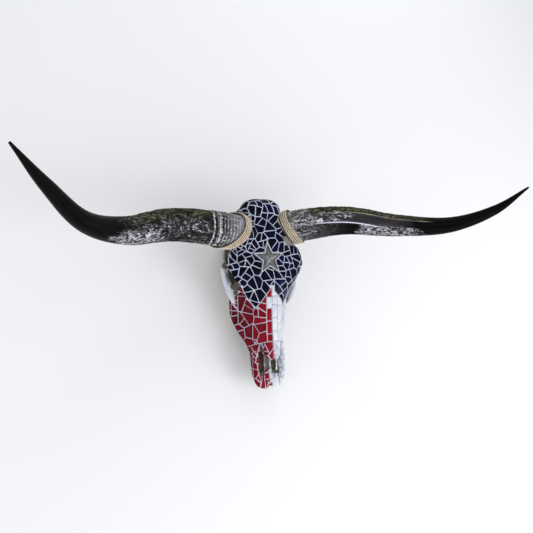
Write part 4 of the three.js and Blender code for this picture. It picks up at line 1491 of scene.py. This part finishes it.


# %% [markdown]
# ## The strands
# Each strand turns once round the rope's middle in a lay's length. Its radius varies a little, as a hand
# made strand's does. How far each point stands out of the horn is stored too, so that the finish can
# paint shade on the low side of the strands, where they lie against the horn and each other.

# %% Make the ropes
LAY = 17
STRAND_RADIUS = 1.3
STRAND_OFFSET = 1.5


def rope(side):
    """Three strands along the rope's route."""
    middle, outs = rope_route(side)
    points = middle.points
    length = sum((q - p).length for p, q in zip(points, points[1:]))
    print("rope", side, round(length), "mm")
    strands = []
    for k in range(3):
        def ring(along):
            centre, forward = middle.at(along), middle.direction(along)
            out = outs.at(along)
            out = (out - forward * out.dot(forward)).normalized()
            beside = forward.cross(out)
            turn = math.tau * (length * along / LAY + k / 3)
            way = out * math.cos(turn) + beside * math.sin(turn)
            side_way = forward.cross(way)
            loose = 1 + 0.06 * noise.noise(Vector((along * 90, k * 7, 0)))
            return [centre + way * (STRAND_OFFSET + STRAND_RADIUS * loose * math.cos(a))
                    + side_way * (STRAND_RADIUS * 1.08 * loose * math.sin(a))
                    for a in (math.tau * j / 10 for j in range(10))]

        strand = skin(ring, 900, 10)
        way = strand.verts.layers.float_vector["way"]
        crown = strand.verts.layers.float.new("crown")
        for vert in strand.verts:
            along = vert[way].x
            # how far out a point stands, which sets the painted shade low on the rope
            vert[crown] = (vert.co - middle.at(along)).dot(outs.at(along).normalized()) / ROPE_RADIUS
        strands.append(strand)
    return mesh_of(strands)


# %% [markdown]
# ## The cheek teeth
# A grazing animal's cheek teeth are tall, with two lobes each and a groove between them down the side.
# Each one is a skin over lobed rings, set in its socket and standing on the floor.

# %% Make the teeth
TOOTH_SIZES = [(27, 22), (26, 23), (23, 23), (18, 20), (17, 18), (15, 16)]


def tooth(s, i, back):
    """One tooth from its crown in the socket down to the worn face that it stands on."""
    long, wide = TOOTH_SIZES[i]

    def ring(along):
        height = 40 - 40 * along
        narrow = 1 - 0.08 * along
        worn = 1.2 * smooth_step(0.93, 1, along)
        points = []
        for k in range(36):
            a = math.tau * k / 36
            lobe = 1 - 0.13 * math.exp(-(math.cos(a) / 0.22) ** 2) - 0.03 * math.cos(6 * a)
            x = (wide * 0.5 * narrow * lobe - worn) * math.sin(a)
            y = (long * 0.5 * narrow - worn * 0.6) * math.cos(a)
            points.append(Vector((s * (54 - 1.4 * i) + x, back - long / 2 + y, max(0, height))))
        return points

    bm = skin(ring, 16, 36)
    for vert in bm.verts:
        if vert.co.z < 0.01 and len(vert.link_edges) > 4:
            vert.co.z = 1.6
    return bm


teeth = []
for s in SIDES.values():
    back = -22
    for i, (long, _) in enumerate(TOOTH_SIZES):
        teeth.append(tooth(s, i, back))
        back -= long + 0.6
print("teeth:", len(teeth))

# %% [markdown]
# ## Building finishes
# A procedural finish is a small graph of nodes: patterns made from the object's own coordinates, or from
# an attribute that was stored on the mesh, mixed into colour, roughness and bump. The helper below keeps
# each graph short to write. Every pattern has its scale in the frame's metres.

# %% A helper for material nodes
class Finish:
    """One material with the nodes that shape it."""

    def __init__(self, name):
        self.material = bpy.data.materials.new(name)
        self.material.use_nodes = True
        self.tree = self.material.node_tree
        self.shader = self.tree.nodes["Principled BSDF"]
        self.place = self.node("ShaderNodeTexCoord").outputs["Object"]

    def node(self, kind, **settings):
        made = self.tree.nodes.new(kind)
        for key, value in settings.items():
            setattr(made, key, value)
        return made

    def put(self, value, socket):
        """Links a socket to another, or sets it to a constant."""
        if isinstance(value, bpy.types.NodeSocket):
            self.tree.links.new(value, socket)
        elif isinstance(value, tuple) and len(value) == 3 and socket.type == "RGBA":
            socket.default_value = (*value, 1)
        else:
            socket.default_value = value

    def attribute(self, name, output="Fac"):
        return self.node("ShaderNodeAttribute", attribute_name=name).outputs[output]

    def noise(self, scale, detail=4, rough=0.55, place=None, twist=0.0):
        made = self.node("ShaderNodeTexNoise")
        self.put(place or self.place, made.inputs["Vector"])
        for key, value in (("Scale", scale), ("Detail", detail), ("Roughness", rough), ("Distortion", twist)):
            made.inputs[key].default_value = value
        return made.outputs["Fac"]

    def cells(self, scale, feature="F1", place=None):
        made = self.node("ShaderNodeTexVoronoi", feature=feature)
        self.put(place or self.place, made.inputs["Vector"])
        made.inputs["Scale"].default_value = scale
        return made.outputs["Distance"]

    def stretched(self, place, amounts):
        made = self.node("ShaderNodeMapping")
        self.put(place, made.inputs["Vector"])
        made.inputs["Scale"].default_value = amounts
        return made.outputs["Vector"]

    def ramp(self, value, *stops):
        """A colour, or a grey number, for each value: stops are (place, colour or number)."""
        made = self.node("ShaderNodeValToRGB")
        self.put(value, made.inputs["Fac"])
        points = made.color_ramp.elements
        while len(points) < len(stops):
            points.new(0.5)
        for point, (place, colour) in zip(points, stops):
            point.position = place
            point.color = (*colour, 1) if isinstance(colour, tuple) else (colour, colour, colour, 1)
        return made.outputs["Color"]

    def mix(self, share, one, other):
        made = self.node("ShaderNodeMix", data_type="RGBA")
        self.put(share, made.inputs[0])
        self.put(one, made.inputs[6])
        self.put(other, made.inputs[7])
        return made.outputs[2]

    def maths(self, operation, *values):
        made = self.node("ShaderNodeMath", operation=operation)
        for value, socket in zip(values, made.inputs):
            self.put(value, socket)
        return made.outputs[0]

    def times(self, one, other):
        return self.maths("MULTIPLY", one, other)

    def plus(self, one, other):
        return self.maths("ADD", one, other)

    def less(self, one, other):
        return self.maths("SUBTRACT", one, other)

    def fade(self, value, low, high):
        """A smooth rise from 0 at low to 1 at high. It falls where low is the larger."""
        made = self.node("ShaderNodeMapRange", interpolation_type="SMOOTHSTEP")
        self.put(value, made.inputs["Value"])
        made.inputs["From Min"].default_value = min(low, high)
        made.inputs["From Max"].default_value = max(low, high)
        made.inputs["To Min"].default_value = 0 if low < high else 1
        made.inputs["To Max"].default_value = 1 if low < high else 0
        return made.outputs["Result"]

    def axes(self, vector):
        made = self.node("ShaderNodeSeparateXYZ")
        self.put(vector, made.inputs[0])
        return made.outputs[0], made.outputs[1], made.outputs[2]

    def join(self, x, y, z):
        made = self.node("ShaderNodeCombineXYZ")
        for value, socket in zip((x, y, z), made.inputs):
            self.put(value, socket)
        return made.outputs[0]

    def bump(self, height, strength, depth, under=None):
        made = self.node("ShaderNodeBump")
        self.put(height, made.inputs["Height"])
        made.inputs["Strength"].default_value = strength
        made.inputs["Distance"].default_value = depth
        if under:
            self.put(under, made.inputs["Normal"])
        return made.outputs["Normal"]

    def set(self, **sockets):
        """Gives the shader its values, by short names."""
        names = {"colour": "Base Color", "rough": "Roughness", "metal": "Metallic", "normal": "Normal",
                 "coat": "Coat Weight", "coat_rough": "Coat Roughness", "specular": "Specular IOR Level",
                 "sheen": "Sheen Weight", "sheen_rough": "Sheen Roughness"}
        for key, value in sockets.items():
            self.put(value, self.shader.inputs[names[key]])
        return self.material


# %% [markdown]
# ## Glass
# The tiles are hand-cut stained glass: dark navy that is nearly black, a red that runs from bright to
# maroon, and a milky white. Each tile has a tone in an attribute: partly random, so neighbours differ,
# and partly painted shade by where the tile lies. Faint streaks run through each sheet. A glass shader
# that light passes through would be slow and would show the plate's foot, so the glass is opaque and shiny.

# %% Glass finishes
def glass(name, tones, streak, depth, shine):
    """Glass whose colour follows the tile's tone, with streaks of a second colour."""
    f = Finish(name)
    # the tile's tone carries painted shade as well as luck
    tone_and_shade = f.attribute("tone_and_shade")
    offset = f.times(tone_and_shade, 9.0)
    x, y, z = f.axes(f.place)
    own = f.join(f.plus(x, offset), y, z)
    wisps = f.noise(34, 6, 0.6, f.stretched(own, (1, 0.45, 1)), 1.4)
    colour = f.mix(f.ramp(wisps, (0.45, 0.0), (0.75, depth)), f.ramp(tone_and_shade, *tones), streak)
    seeds = f.ramp(f.cells(420, place=own), (0.0, 1.0), (0.12, 0.0))
    rough = f.ramp(f.noise(140, 5), (0.3, 0.1), (0.8, 0.24))
    wave = f.bump(f.noise(55, 3, place=own), 0.35, 0.0012)
    normal = f.bump(seeds, 0.12, 0.0004, wave)
    return f.set(colour=colour, rough=rough, normal=normal, specular=shine)


glass_finish = {
    "navy": glass("navy_glass", [(0, (0.0016, 0.0018, 0.005)), (0.5, (0.002, 0.0024, 0.010)),
                                 (0.75, (0.003, 0.003, 0.022)), (1, (0.006, 0.006, 0.052))],
                  (0.008, 0.009, 0.04), 0.45, 0.05),
    "red": glass("red_glass", [(0, (0.055, 0.003, 0.007)), (0.5, (0.12, 0.003, 0.009)),
                               (1, (0.26, 0.005, 0.012))], (0.32, 0.012, 0.018), 0.4, 0.06),
    "white": glass("white_glass", [(0, (0.50, 0.52, 0.60)), (0.5, (0.60, 0.62, 0.69)),
                                   (1, (0.68, 0.69, 0.73))], (0.40, 0.43, 0.53), 0.6, 0.2),
}
print("glass finishes:", [finish.name for finish in glass_finish.values()])

# %% [markdown]
# ## The grout's finish
# Grout is matt and sandy, a pale blue-grey. A coarse noise makes its patches, a fine one its grains, and
# the stored attributes tint it mauve in the red field and streak it darker grey in the white.

# %% Grout finish
def grout_finish():
    f = Finish("sanded_grout")
    patches = f.noise(28, 5, 0.6)
    colour = f.ramp(patches, (0.3, (0.42, 0.46, 0.60)), (0.55, (0.55, 0.59, 0.72)),
                    (0.75, (0.66, 0.69, 0.80)))
    colour = f.mix(f.times(f.attribute("rosy"), 0.35), colour, (0.52, 0.40, 0.48))
    streaks = f.ramp(f.noise(45, 6, 0.65, f.stretched(f.place, (1.6, 0.5, 1.6))), (0.45, 0.9), (0.6, 0.35))
    colour = f.mix(f.times(f.attribute("ashy"), streaks), colour, (0.27, 0.29, 0.35))
    specks = f.ramp(f.noise(900, 2), (0.62, 0.0), (0.72, 0.35))
    colour = f.mix(specks, colour, (0.30, 0.31, 0.38))
    grain = f.bump(f.noise(1100, 3), 0.5, 0.0006)
    normal = f.bump(f.noise(190, 4), 0.4, 0.0012, grain)
    return f.set(colour=colour, rough=0.86, normal=normal, specular=0.3)


# %% [markdown]
# ## Bone
# Old bone isn't white. It is cream where it has been rubbed and grey where the weather has opened its
# grain. Its hollows are darkened to olive-brown, partly as stain and partly as painted shade. How deep
# in a hollow each point lies is measured once, by counting the rays that don't get out, and is stored on
# the mesh for the painted shade.

# %% Bone and tooth finishes
def bone_finish():
    f = Finish("weathered_bone")
    hollow_shade, olive = f.attribute("hollow_shade"), f.attribute("olive")
    blotch = f.noise(16, 7, 0.62)
    fine = f.noise(130, 6, 0.6)
    colour = f.ramp(blotch, (0.32, (0.40, 0.37, 0.31)), (0.52, (0.58, 0.55, 0.49)), (0.7, (0.70, 0.69, 0.67)))
    colour = f.mix(f.ramp(fine, (0.35, 0.5), (0.65, 0.0)), colour, (0.33, 0.29, 0.21))
    fibres = f.noise(60, 6, 0.65, f.stretched(f.place, (5, 0.8, 5)))
    colour = f.mix(f.ramp(fibres, (0.55, 0.0), (0.72, 0.35)), colour, (0.20, 0.17, 0.12))
    # painted shade: the measured hollows are darkened, mixed with a blotchy stain
    stain_and_shade = f.plus(f.times(hollow_shade, 1.15), f.times(f.less(blotch, 0.5), 0.7))
    colour = f.mix(f.fade(stain_and_shade, 0.18, 0.62), colour, (0.19, 0.165, 0.105))
    colour = f.mix(f.fade(stain_and_shade, 0.55, 0.95), colour, (0.045, 0.04, 0.026))
    # dark olive: a stain in places, and painted shade in the eye sockets, the temples and the nose
    green = f.times(olive, f.ramp(fine, (0.2, 0.75), (0.6, 1.0)))
    colour = f.mix(green, colour, (0.045, 0.041, 0.024))
    pale = f.attribute("pale")
    colour = f.mix(f.times(pale, f.ramp(blotch, (0.3, 0.55), (0.6, 0.95))), colour, (0.66, 0.69, 0.80))
    pores = f.ramp(f.cells(620), (0.0, 0.0), (0.35, 1.0))
    webbing = f.cells(48, "DISTANCE_TO_EDGE", f.stretched(f.place, (1.6, 0.7, 1.6)))
    cracks = f.ramp(webbing, (0.0, 0.0), (0.035, 1.0))
    colour = f.mix(f.ramp(cracks, (0.0, 0.45), (1.0, 0.0)), colour, (0.10, 0.085, 0.055))
    normal = f.bump(fibres, 0.35, 0.0014)
    normal = f.bump(pores, 0.25, 0.0004, normal)
    normal = f.bump(f.noise(70, 6), 0.5, 0.0016, normal)
    return f.set(colour=colour, rough=f.ramp(blotch, (0.3, 0.78), (0.7, 0.55)), normal=normal, specular=0.35)


def tooth_finish():
    f = Finish("tooth_enamel")
    _, _, z = f.axes(f.place)
    stain = f.noise(150, 6, 0.6, f.stretched(f.place, (1, 1, 0.25)))
    colour = f.ramp(stain, (0.3, (0.30, 0.22, 0.12)), (0.5, (0.62, 0.54, 0.38)), (0.72, (0.78, 0.74, 0.63)))
    colour = f.mix(f.fade(z, 0.022, 0.036), colour, (0.22, 0.17, 0.10))
    normal = f.bump(f.noise(260, 4, place=f.stretched(f.place, (1, 1, 0.2))), 0.4, 0.0008)
    return f.set(colour=colour, rough=f.ramp(stain, (0.3, 0.5), (0.7, 0.24)), normal=normal, coat=0.2,
                 coat_rough=0.2)


# %% [markdown]
# ## Cast metal
# The star is pewter: grey, with a painted highlight on its border and painted shade in its sunk panel.
# Pewter isn't mirror bright, so it is only partly metallic and quite rough.

# %% Star finish
def star_finish():
    f = Finish("cast_pewter")
    blotch = f.noise(95, 6, 0.6)
    colour = f.ramp(blotch, (0.3, (0.13, 0.13, 0.135)), (0.6, (0.26, 0.26, 0.265)), (0.8, (0.44, 0.44, 0.45)))
    # painted highlight on the rim
    colour = f.mix(f.times(f.attribute("rim"), 0.9), colour, (0.72, 0.72, 0.74))
    # painted shade in the sunk panel
    panel_shade = f.times(f.attribute("sunk"), f.ramp(f.noise(60, 4), (0.3, 0.9), (0.7, 0.5)))
    colour = f.mix(panel_shade, colour, (0.06, 0.06, 0.065))
    scratch = f.noise(420, 3, place=f.stretched(f.place, (1, 0.08, 1)))
    normal = f.bump(f.noise(330, 4), 0.35, 0.0006)
    normal = f.bump(scratch, 0.12, 0.0003, normal)
    return f.set(colour=colour, metal=0.7, rough=f.ramp(blotch, (0.3, 0.6), (0.75, 0.42)), normal=normal)


# %% [markdown]
# ## Horn
# Horn is nearly black and polished at its outer half. Nearer the root it is pale and flaked, with rings
# across it, and its upper edge is a ragged olive. On the left horn a grey band along part of it is painted
# sheen, and a thin pale line on that band is a painted highlight. Each mark is a layer of colour mixed in
# by a mask. A mask is a band along the horn times a height round it, and noise makes its edges ragged.
# A painted image could do this too, but the masks need no unwrapping and stay sharp at any size.

# %% Horn finish
HORN_SPAN, HORN_GIRTH = 0.78, 0.04  # in metres, to give the patterns their scale


def horn_finish(side):
    """Horn, with its marks placed by how far along and how high on the horn a point lies."""
    f = Finish(f"horn_{side}")
    along, over, back = f.axes(f.attribute("way", "Vector"))
    top = over if side == "left" else f.times(over, -1.0)
    height = f.maths("DEGREES", f.maths("ARCTAN2", back, top))
    over_way, back_way = f.times(over, HORN_GIRTH), f.times(back, HORN_GIRTH)
    spread = f.join(f.times(along, HORN_SPAN), over_way, back_way)
    fibre = f.noise(80, 7, 0.65, f.stretched(spread, (0.09, 1, 1)), 0.3)
    blotch = f.noise(30, 7, 0.66, f.stretched(spread, (0.6, 1, 1)))
    fleck = f.noise(135, 9, 0.72, f.stretched(spread, (0.6, 1, 1)), 1.2)
    ragged = f.times(f.less(blotch, 0.5), 0.22)
    worn = f.plus(along, ragged)

    def band(low, high, soft=0.03, value=worn):
        """1 between two places along the horn."""
        rise = f.fade(value, low - soft, low + soft)
        return f.times(rise, f.fade(value, high + soft, high - soft))

    def above(angle, soft=8):
        """1 over a height round the horn, in degrees from its front."""
        wavy = f.plus(height, f.times(ragged, 90.0))
        return f.fade(wavy, angle - soft, angle + soft)

    def line(angle, slope, width):
        """1 on a thin line along the horn, which may climb."""
        middle = f.plus(f.times(along, slope), angle)
        return f.fade(f.maths("ABSOLUTE", f.less(height, middle)), width, width * 0.3)

    colour = f.ramp(fibre, (0.35, (0.0025, 0.0024, 0.0024)), (0.6, (0.006, 0.0055, 0.005)),
                    (0.8, (0.02, 0.016, 0.012)))
    pale = f.ramp(fleck, (0.38, (0.10, 0.10, 0.115)), (0.5, (0.30, 0.30, 0.34)), (0.62, (0.62, 0.62, 0.68)))
    olive = f.ramp(fleck, (0.40, (0.008, 0.008, 0.005)), (0.5, (0.032, 0.031, 0.018)),
                   (0.60, (0.13, 0.127, 0.08)), (0.7, (0.36, 0.36, 0.28)))
    # the colour of the painted sheen on the left horn
    painted_sheen = f.ramp(fibre, (0.3, (0.014, 0.0135, 0.015)), (0.55, (0.04, 0.038, 0.043)),
                  (0.75, (0.09, 0.085, 0.095)))
    ash = f.ramp(fleck, (0.38, (0.008, 0.008, 0.008)), (0.52, (0.045, 0.044, 0.046)),
                 (0.64, (0.14, 0.14, 0.15)))
    rings = f.maths("SINE", f.plus(f.times(along, 800.0), f.times(blotch, 14.0)))
    ring_lines = f.times(f.fade(rings, 0.2, 0.95), f.fade(fleck, 0.42, 0.54))
    low_half = f.less(1.0, above(-24, 10))
    if side == "right":
        colour = f.mix(f.times(band(0.2, 0.53), f.ramp(blotch, (0.38, 0.15), (0.6, 1.0))), colour, ash)
        flecks = f.times(band(0.2, 0.55), f.fade(fleck, 0.53, 0.64))
        colour = f.mix(f.times(flecks, f.ramp(blotch, (0.42, 0.12), (0.6, 1.0))), colour, pale)
        dense = f.times(band(0.42, 0.555), low_half)
        colour = f.mix(f.times(dense, f.fade(fleck, 0.45, 0.55)), colour, pale)
        colour = f.mix(f.times(band(0.22, 0.50), above(10)), colour, olive)
        colour = f.mix(f.times(band(-1, 0.205, 0.03, along), 0.9), colour,
                       f.ramp(fleck, (0.4, (0.13, 0.13, 0.14)), (0.6, (0.30, 0.30, 0.33))))
        colour = f.mix(f.times(band(-1, 0.24, 0.01, along), f.times(ring_lines, 0.8)),
                       colour, (0.52, 0.52, 0.56))
        for place in (0.232, 0.246):
            swayed = f.plus(along, f.times(ragged, 0.09))
            mark = f.fade(f.maths("ABSOLUTE", f.less(swayed, place)), 0.0022, 0.0006)
            broken = f.times(mark, f.ramp(fleck, (0.4, 0.15), (0.56, 0.95)))
            colour = f.mix(broken, colour, (0.78, 0.78, 0.84))
    else:
        # painted sheen: a grey band on the left horn
        colour = f.mix(f.times(band(0.2, 0.52), above(-34, 5)), colour, painted_sheen)
        colour = f.mix(f.times(band(-1, 0.3), f.ramp(blotch, (0.38, 0.2), (0.6, 1.0))), colour, ash)
        flecks = f.times(band(0.2, 0.33), f.fade(fleck, 0.5, 0.58))
        colour = f.mix(f.times(flecks, above(-22)), colour, pale)
        dense = f.times(band(0.38, 0.575, 0.02), f.less(1.0, above(-28, 6)))
        colour = f.mix(f.times(dense, f.fade(fleck, 0.46, 0.55)), colour, pale)
        colour = f.mix(f.times(band(0.19, 0.57), above(17, 5)), colour, olive)
        near_root = f.times(band(-1, 0.185, 0.03), f.ramp(blotch, (0.35, 0.4), (0.6, 0.95)))
        root_colour = f.ramp(fleck, (0.42, (0.045, 0.044, 0.036)), (0.56, (0.17, 0.17, 0.16)),
                             (0.68, (0.40, 0.40, 0.40)))
        colour = f.mix(near_root, colour, root_colour)
        veins = f.cells(62, "DISTANCE_TO_EDGE", f.join(worn, over_way, back_way))
        vein_lines = f.times(f.fade(veins, 0.06, 0.02), band(-1, 0.225, 0.03))
        colour = f.mix(f.times(vein_lines, f.fade(fleck, 0.40, 0.52)), colour, (0.56, 0.56, 0.61))
        # painted highlight: a thin pale line along the left horn
        glint = f.times(band(0.21, 0.44, 0.02, along), line(-4.0, -72.0, 3.0))
        glint = f.times(glint, f.fade(along, 0.16, 0.34))
        colour = f.mix(glint, colour, (0.74, 0.73, 0.88))
        seam = f.times(band(0.25, 0.60, 0.02, along), line(15.0, 0.0, 3.2))
        colour = f.mix(f.times(seam, f.ramp(blotch, (0.4, 0.3), (0.55, 0.9))), colour, (0.42, 0.40, 0.27))
    brown = f.times(f.fade(f.noise(34, 4, place=spread), 0.62, 0.70), band(0.2, 0.5))
    colour = f.mix(f.times(brown, 0.5), colour, (0.07, 0.035, 0.016))
    smooth = f.fade(worn, 0.45, 0.57)
    rough = f.mix(smooth, f.ramp(fleck, (0.3, 0.5), (0.7, 0.8)), f.ramp(blotch, (0.3, 0.26), (0.7, 0.4)))
    normal = f.bump(fibre, 0.45, 0.001)
    normal = f.bump(fleck, 0.4, 0.0009, normal)
    return f.set(colour=colour, rough=rough, normal=normal, specular=0.02)


# %% [markdown]
# ## Jute
# Jute is a tan, hairy fibre. A strand is itself laid up from yarns, which show as fine slanting lines: a
# sine of the angle round the strand plus the way along it. Particle hair would be closer to the real
# fuzz but heavy, so fine noise in the bump stands in for it.

# %% Rope finish
def rope_finish():
    f = Finish("jute_fibre")
    along, c, s = f.axes(f.attribute("way", "Vector"))
    angle = f.maths("ARCTAN2", s, c)
    yarns = f.maths("SINE", f.plus(f.times(angle, 5.0), f.times(along, 1900.0)))
    hair = f.noise(1500, 4, 0.7, f.stretched(f.place, (1, 1, 0.35)))
    tint = f.noise(70, 5, 0.6)
    colour = f.ramp(tint, (0.3, (0.70, 0.56, 0.39)), (0.52, (0.86, 0.73, 0.54)), (0.72, (0.94, 0.85, 0.68)))
    colour = f.mix(f.ramp(yarns, (0.0, 0.3), (0.6, 0.0)), colour, (0.34, 0.24, 0.13))
    colour = f.mix(f.ramp(hair, (0.55, 0.0), (0.75, 0.5)), colour, (0.92, 0.86, 0.72))
    # painted shade on the low side of each strand, next to the horn and the next turn
    colour = f.mix(f.fade(f.attribute("crown"), 0.5, 0.0), colour, (0.12, 0.08, 0.045))
    normal = f.bump(yarns, 0.5, 0.0005)
    normal = f.bump(hair, 0.6, 0.0005, normal)
    return f.set(colour=colour, rough=0.92, normal=normal, specular=0.2, sheen=0.25, sheen_rough=0.6)


# %% [markdown]
# ## Painted shade in the hollows, and stains
# A point deep in a hollow sees little of the sky. From each vertex of the bone a few rays are sent out
# round its normal, and the share that meets bone again is the shade painted there. Some places have a
# colour of their own: the inside of the eyes, the temples and the nose are dark olive, partly stain and
# partly painted shade, and the rim under the right eye and the cheekbone on the left are washed nearly
# white.

# %% Where the bone is stained, painted with shade or washed
def near_to(point, centre, inner, outer):
    """1 within the inner distance of a spot, 0 beyond the outer one."""
    return 1 - smooth_step(inner, outer, (point - Vector(centre)).length)


def olive_stain_and_shade_at(p):
    """Where the bone is dark olive: a stain in places, and painted shade in the eye sockets, the temples and
    the nose.
    """
    found = []
    for s in SIDES.values():
        axis, away = eye_axis(s), p - eye_place(s)
        off_axis = (away - axis * away.dot(axis)).length
        found.append((1 - smooth_step(31, 38, off_axis)) * smooth_step(55, 75, s * p.x))
        found.append(near_to(p, (s * 104, 60, 130), 34, 54))
    if p.x < 0:
        found.append(near_to(p, (-90, -52, 118), 26, 36))
        found.append(near_to(p, (-108, 20, 128), 22, 34))
        found.append(near_to(p, (-48, -190, 58), 26, 52))
    found.append(0.7 * near_to(p, (74, 56, 178), 24, 36))
    if abs(p.x) < 34 and p.y < -150 and p.z < 104:
        found.append(0.9 * smooth_step(-330, -300, p.y))
    return max(found) * (1 - pale_at(p))


def pale_at(p):
    """Where the bone is washed nearly white."""
    rim = smooth_step(-0.12 * (p.y + 20) - 93, -0.12 * (p.y + 20) - 98, p.x) if p.x < 0 else 0
    rim *= smooth_step(-112, -90, p.y) * (1 - smooth_step(2, 16, p.y)) * (1 - smooth_step(101, 108, p.z))
    left_cheek = near_to(p, (118, -60, 92), 30, 48)
    return max(rim, left_cheek)


# %% [markdown]
# ## Counting the rays
# The rays leave in a spiral that turns by the golden angle, which spreads them evenly over the dome above
# a point. Baking ambient occlusion would need an unwrapped image. Attributes on the vertices don't.

# %% Measure the painted shade in the hollows
GOLDEN_TURN = 2.399963


def store_shade_and_stains(mesh, reach=70, rays=10):
    """Fills three attributes of the bone's mesh: the shade painted in its hollows, olive and pale."""
    layers = {name: mesh.attributes.new(name, "FLOAT", "POINT") for name in ("hollow_shade", "olive", "pale")}
    sphere = []
    for k in range(rays):
        height = 0.25 + 0.75 * (k + 0.5) / rays
        turn = k * GOLDEN_TURN
        flat = math.sqrt(1 - height * height)
        sphere.append(Vector((flat * math.cos(turn), flat * math.sin(turn), height)))
    tree = tree_of(mesh)
    values = {name: [0.0] * len(mesh.vertices) for name in layers}
    for i, vert in enumerate(mesh.vertices):
        stand = vert.normal.to_track_quat("Z", "Y")
        start = vert.co + vert.normal * 0.8
        shut = 0
        for way in sphere:
            hit = tree.ray_cast(start, stand @ way, reach)
            if hit[0] is not None:
                shut += 1 - hit[3] / (2 * reach)
        # the share of rays that meet bone again is painted into the bone's colour as shade
        values["hollow_shade"][i] = shut / rays
        values["olive"][i] = olive_stain_and_shade_at(vert.co)
        values["pale"][i] = pale_at(vert.co)
    for name, layer in layers.items():
        layer.data.foreach_set("value", values[name])
    print("mean grime:", round(sum(values["hollow_shade"]) / len(values["hollow_shade"]), 3))


for vert in bone_mesh.vertices:
    vert.co.z = max(0, vert.co.z)
store_shade_and_stains(bone_mesh)

# %% [markdown]
# ## Putting it together
# Every piece is moved into the frame here and rides on the one body. The imported solids that it stands
# for are hidden, and it takes its finish.

# %% Make the pieces
pieces = {}
for name in FIELDS:
    pieces[name] = finished(mesh_of(tiles[name]), f"glass_{name}", [f"mosaic_{name}"], 30)
    pieces[name].data.materials.append(glass_finish[name])
pieces["grout"] = finished(grout_mesh, "grout", ["mosaic_navy", "mosaic_red", "mosaic_white"], 60)
pieces["bone"] = finished(bone_mesh, "bone", ["skull"], 70)
pieces["teeth"] = finished(mesh_of(teeth), "teeth", ["skull"], 50)
pieces["star"] = finished(mesh_of([star_bm]), "star_casting", ["star"], 25)
finishes = {"grout": grout_finish, "bone": bone_finish, "teeth": tooth_finish, "star": star_finish}
for name, finish in finishes.items():
    pieces[name].data.materials.clear()
    pieces[name].data.materials.append(finish())
jute = rope_finish()
for side in SIDES:
    sheath = finished(mesh_of([horn(side)]), f"horn_sheath_{side}", [f"horn_{side}"])
    sheath.data.materials.append(horn_finish(side))
    cord = finished(rope(side), f"jute_rope_{side}", [f"rope_{side}"], 60)
    cord.data.materials.append(jute)
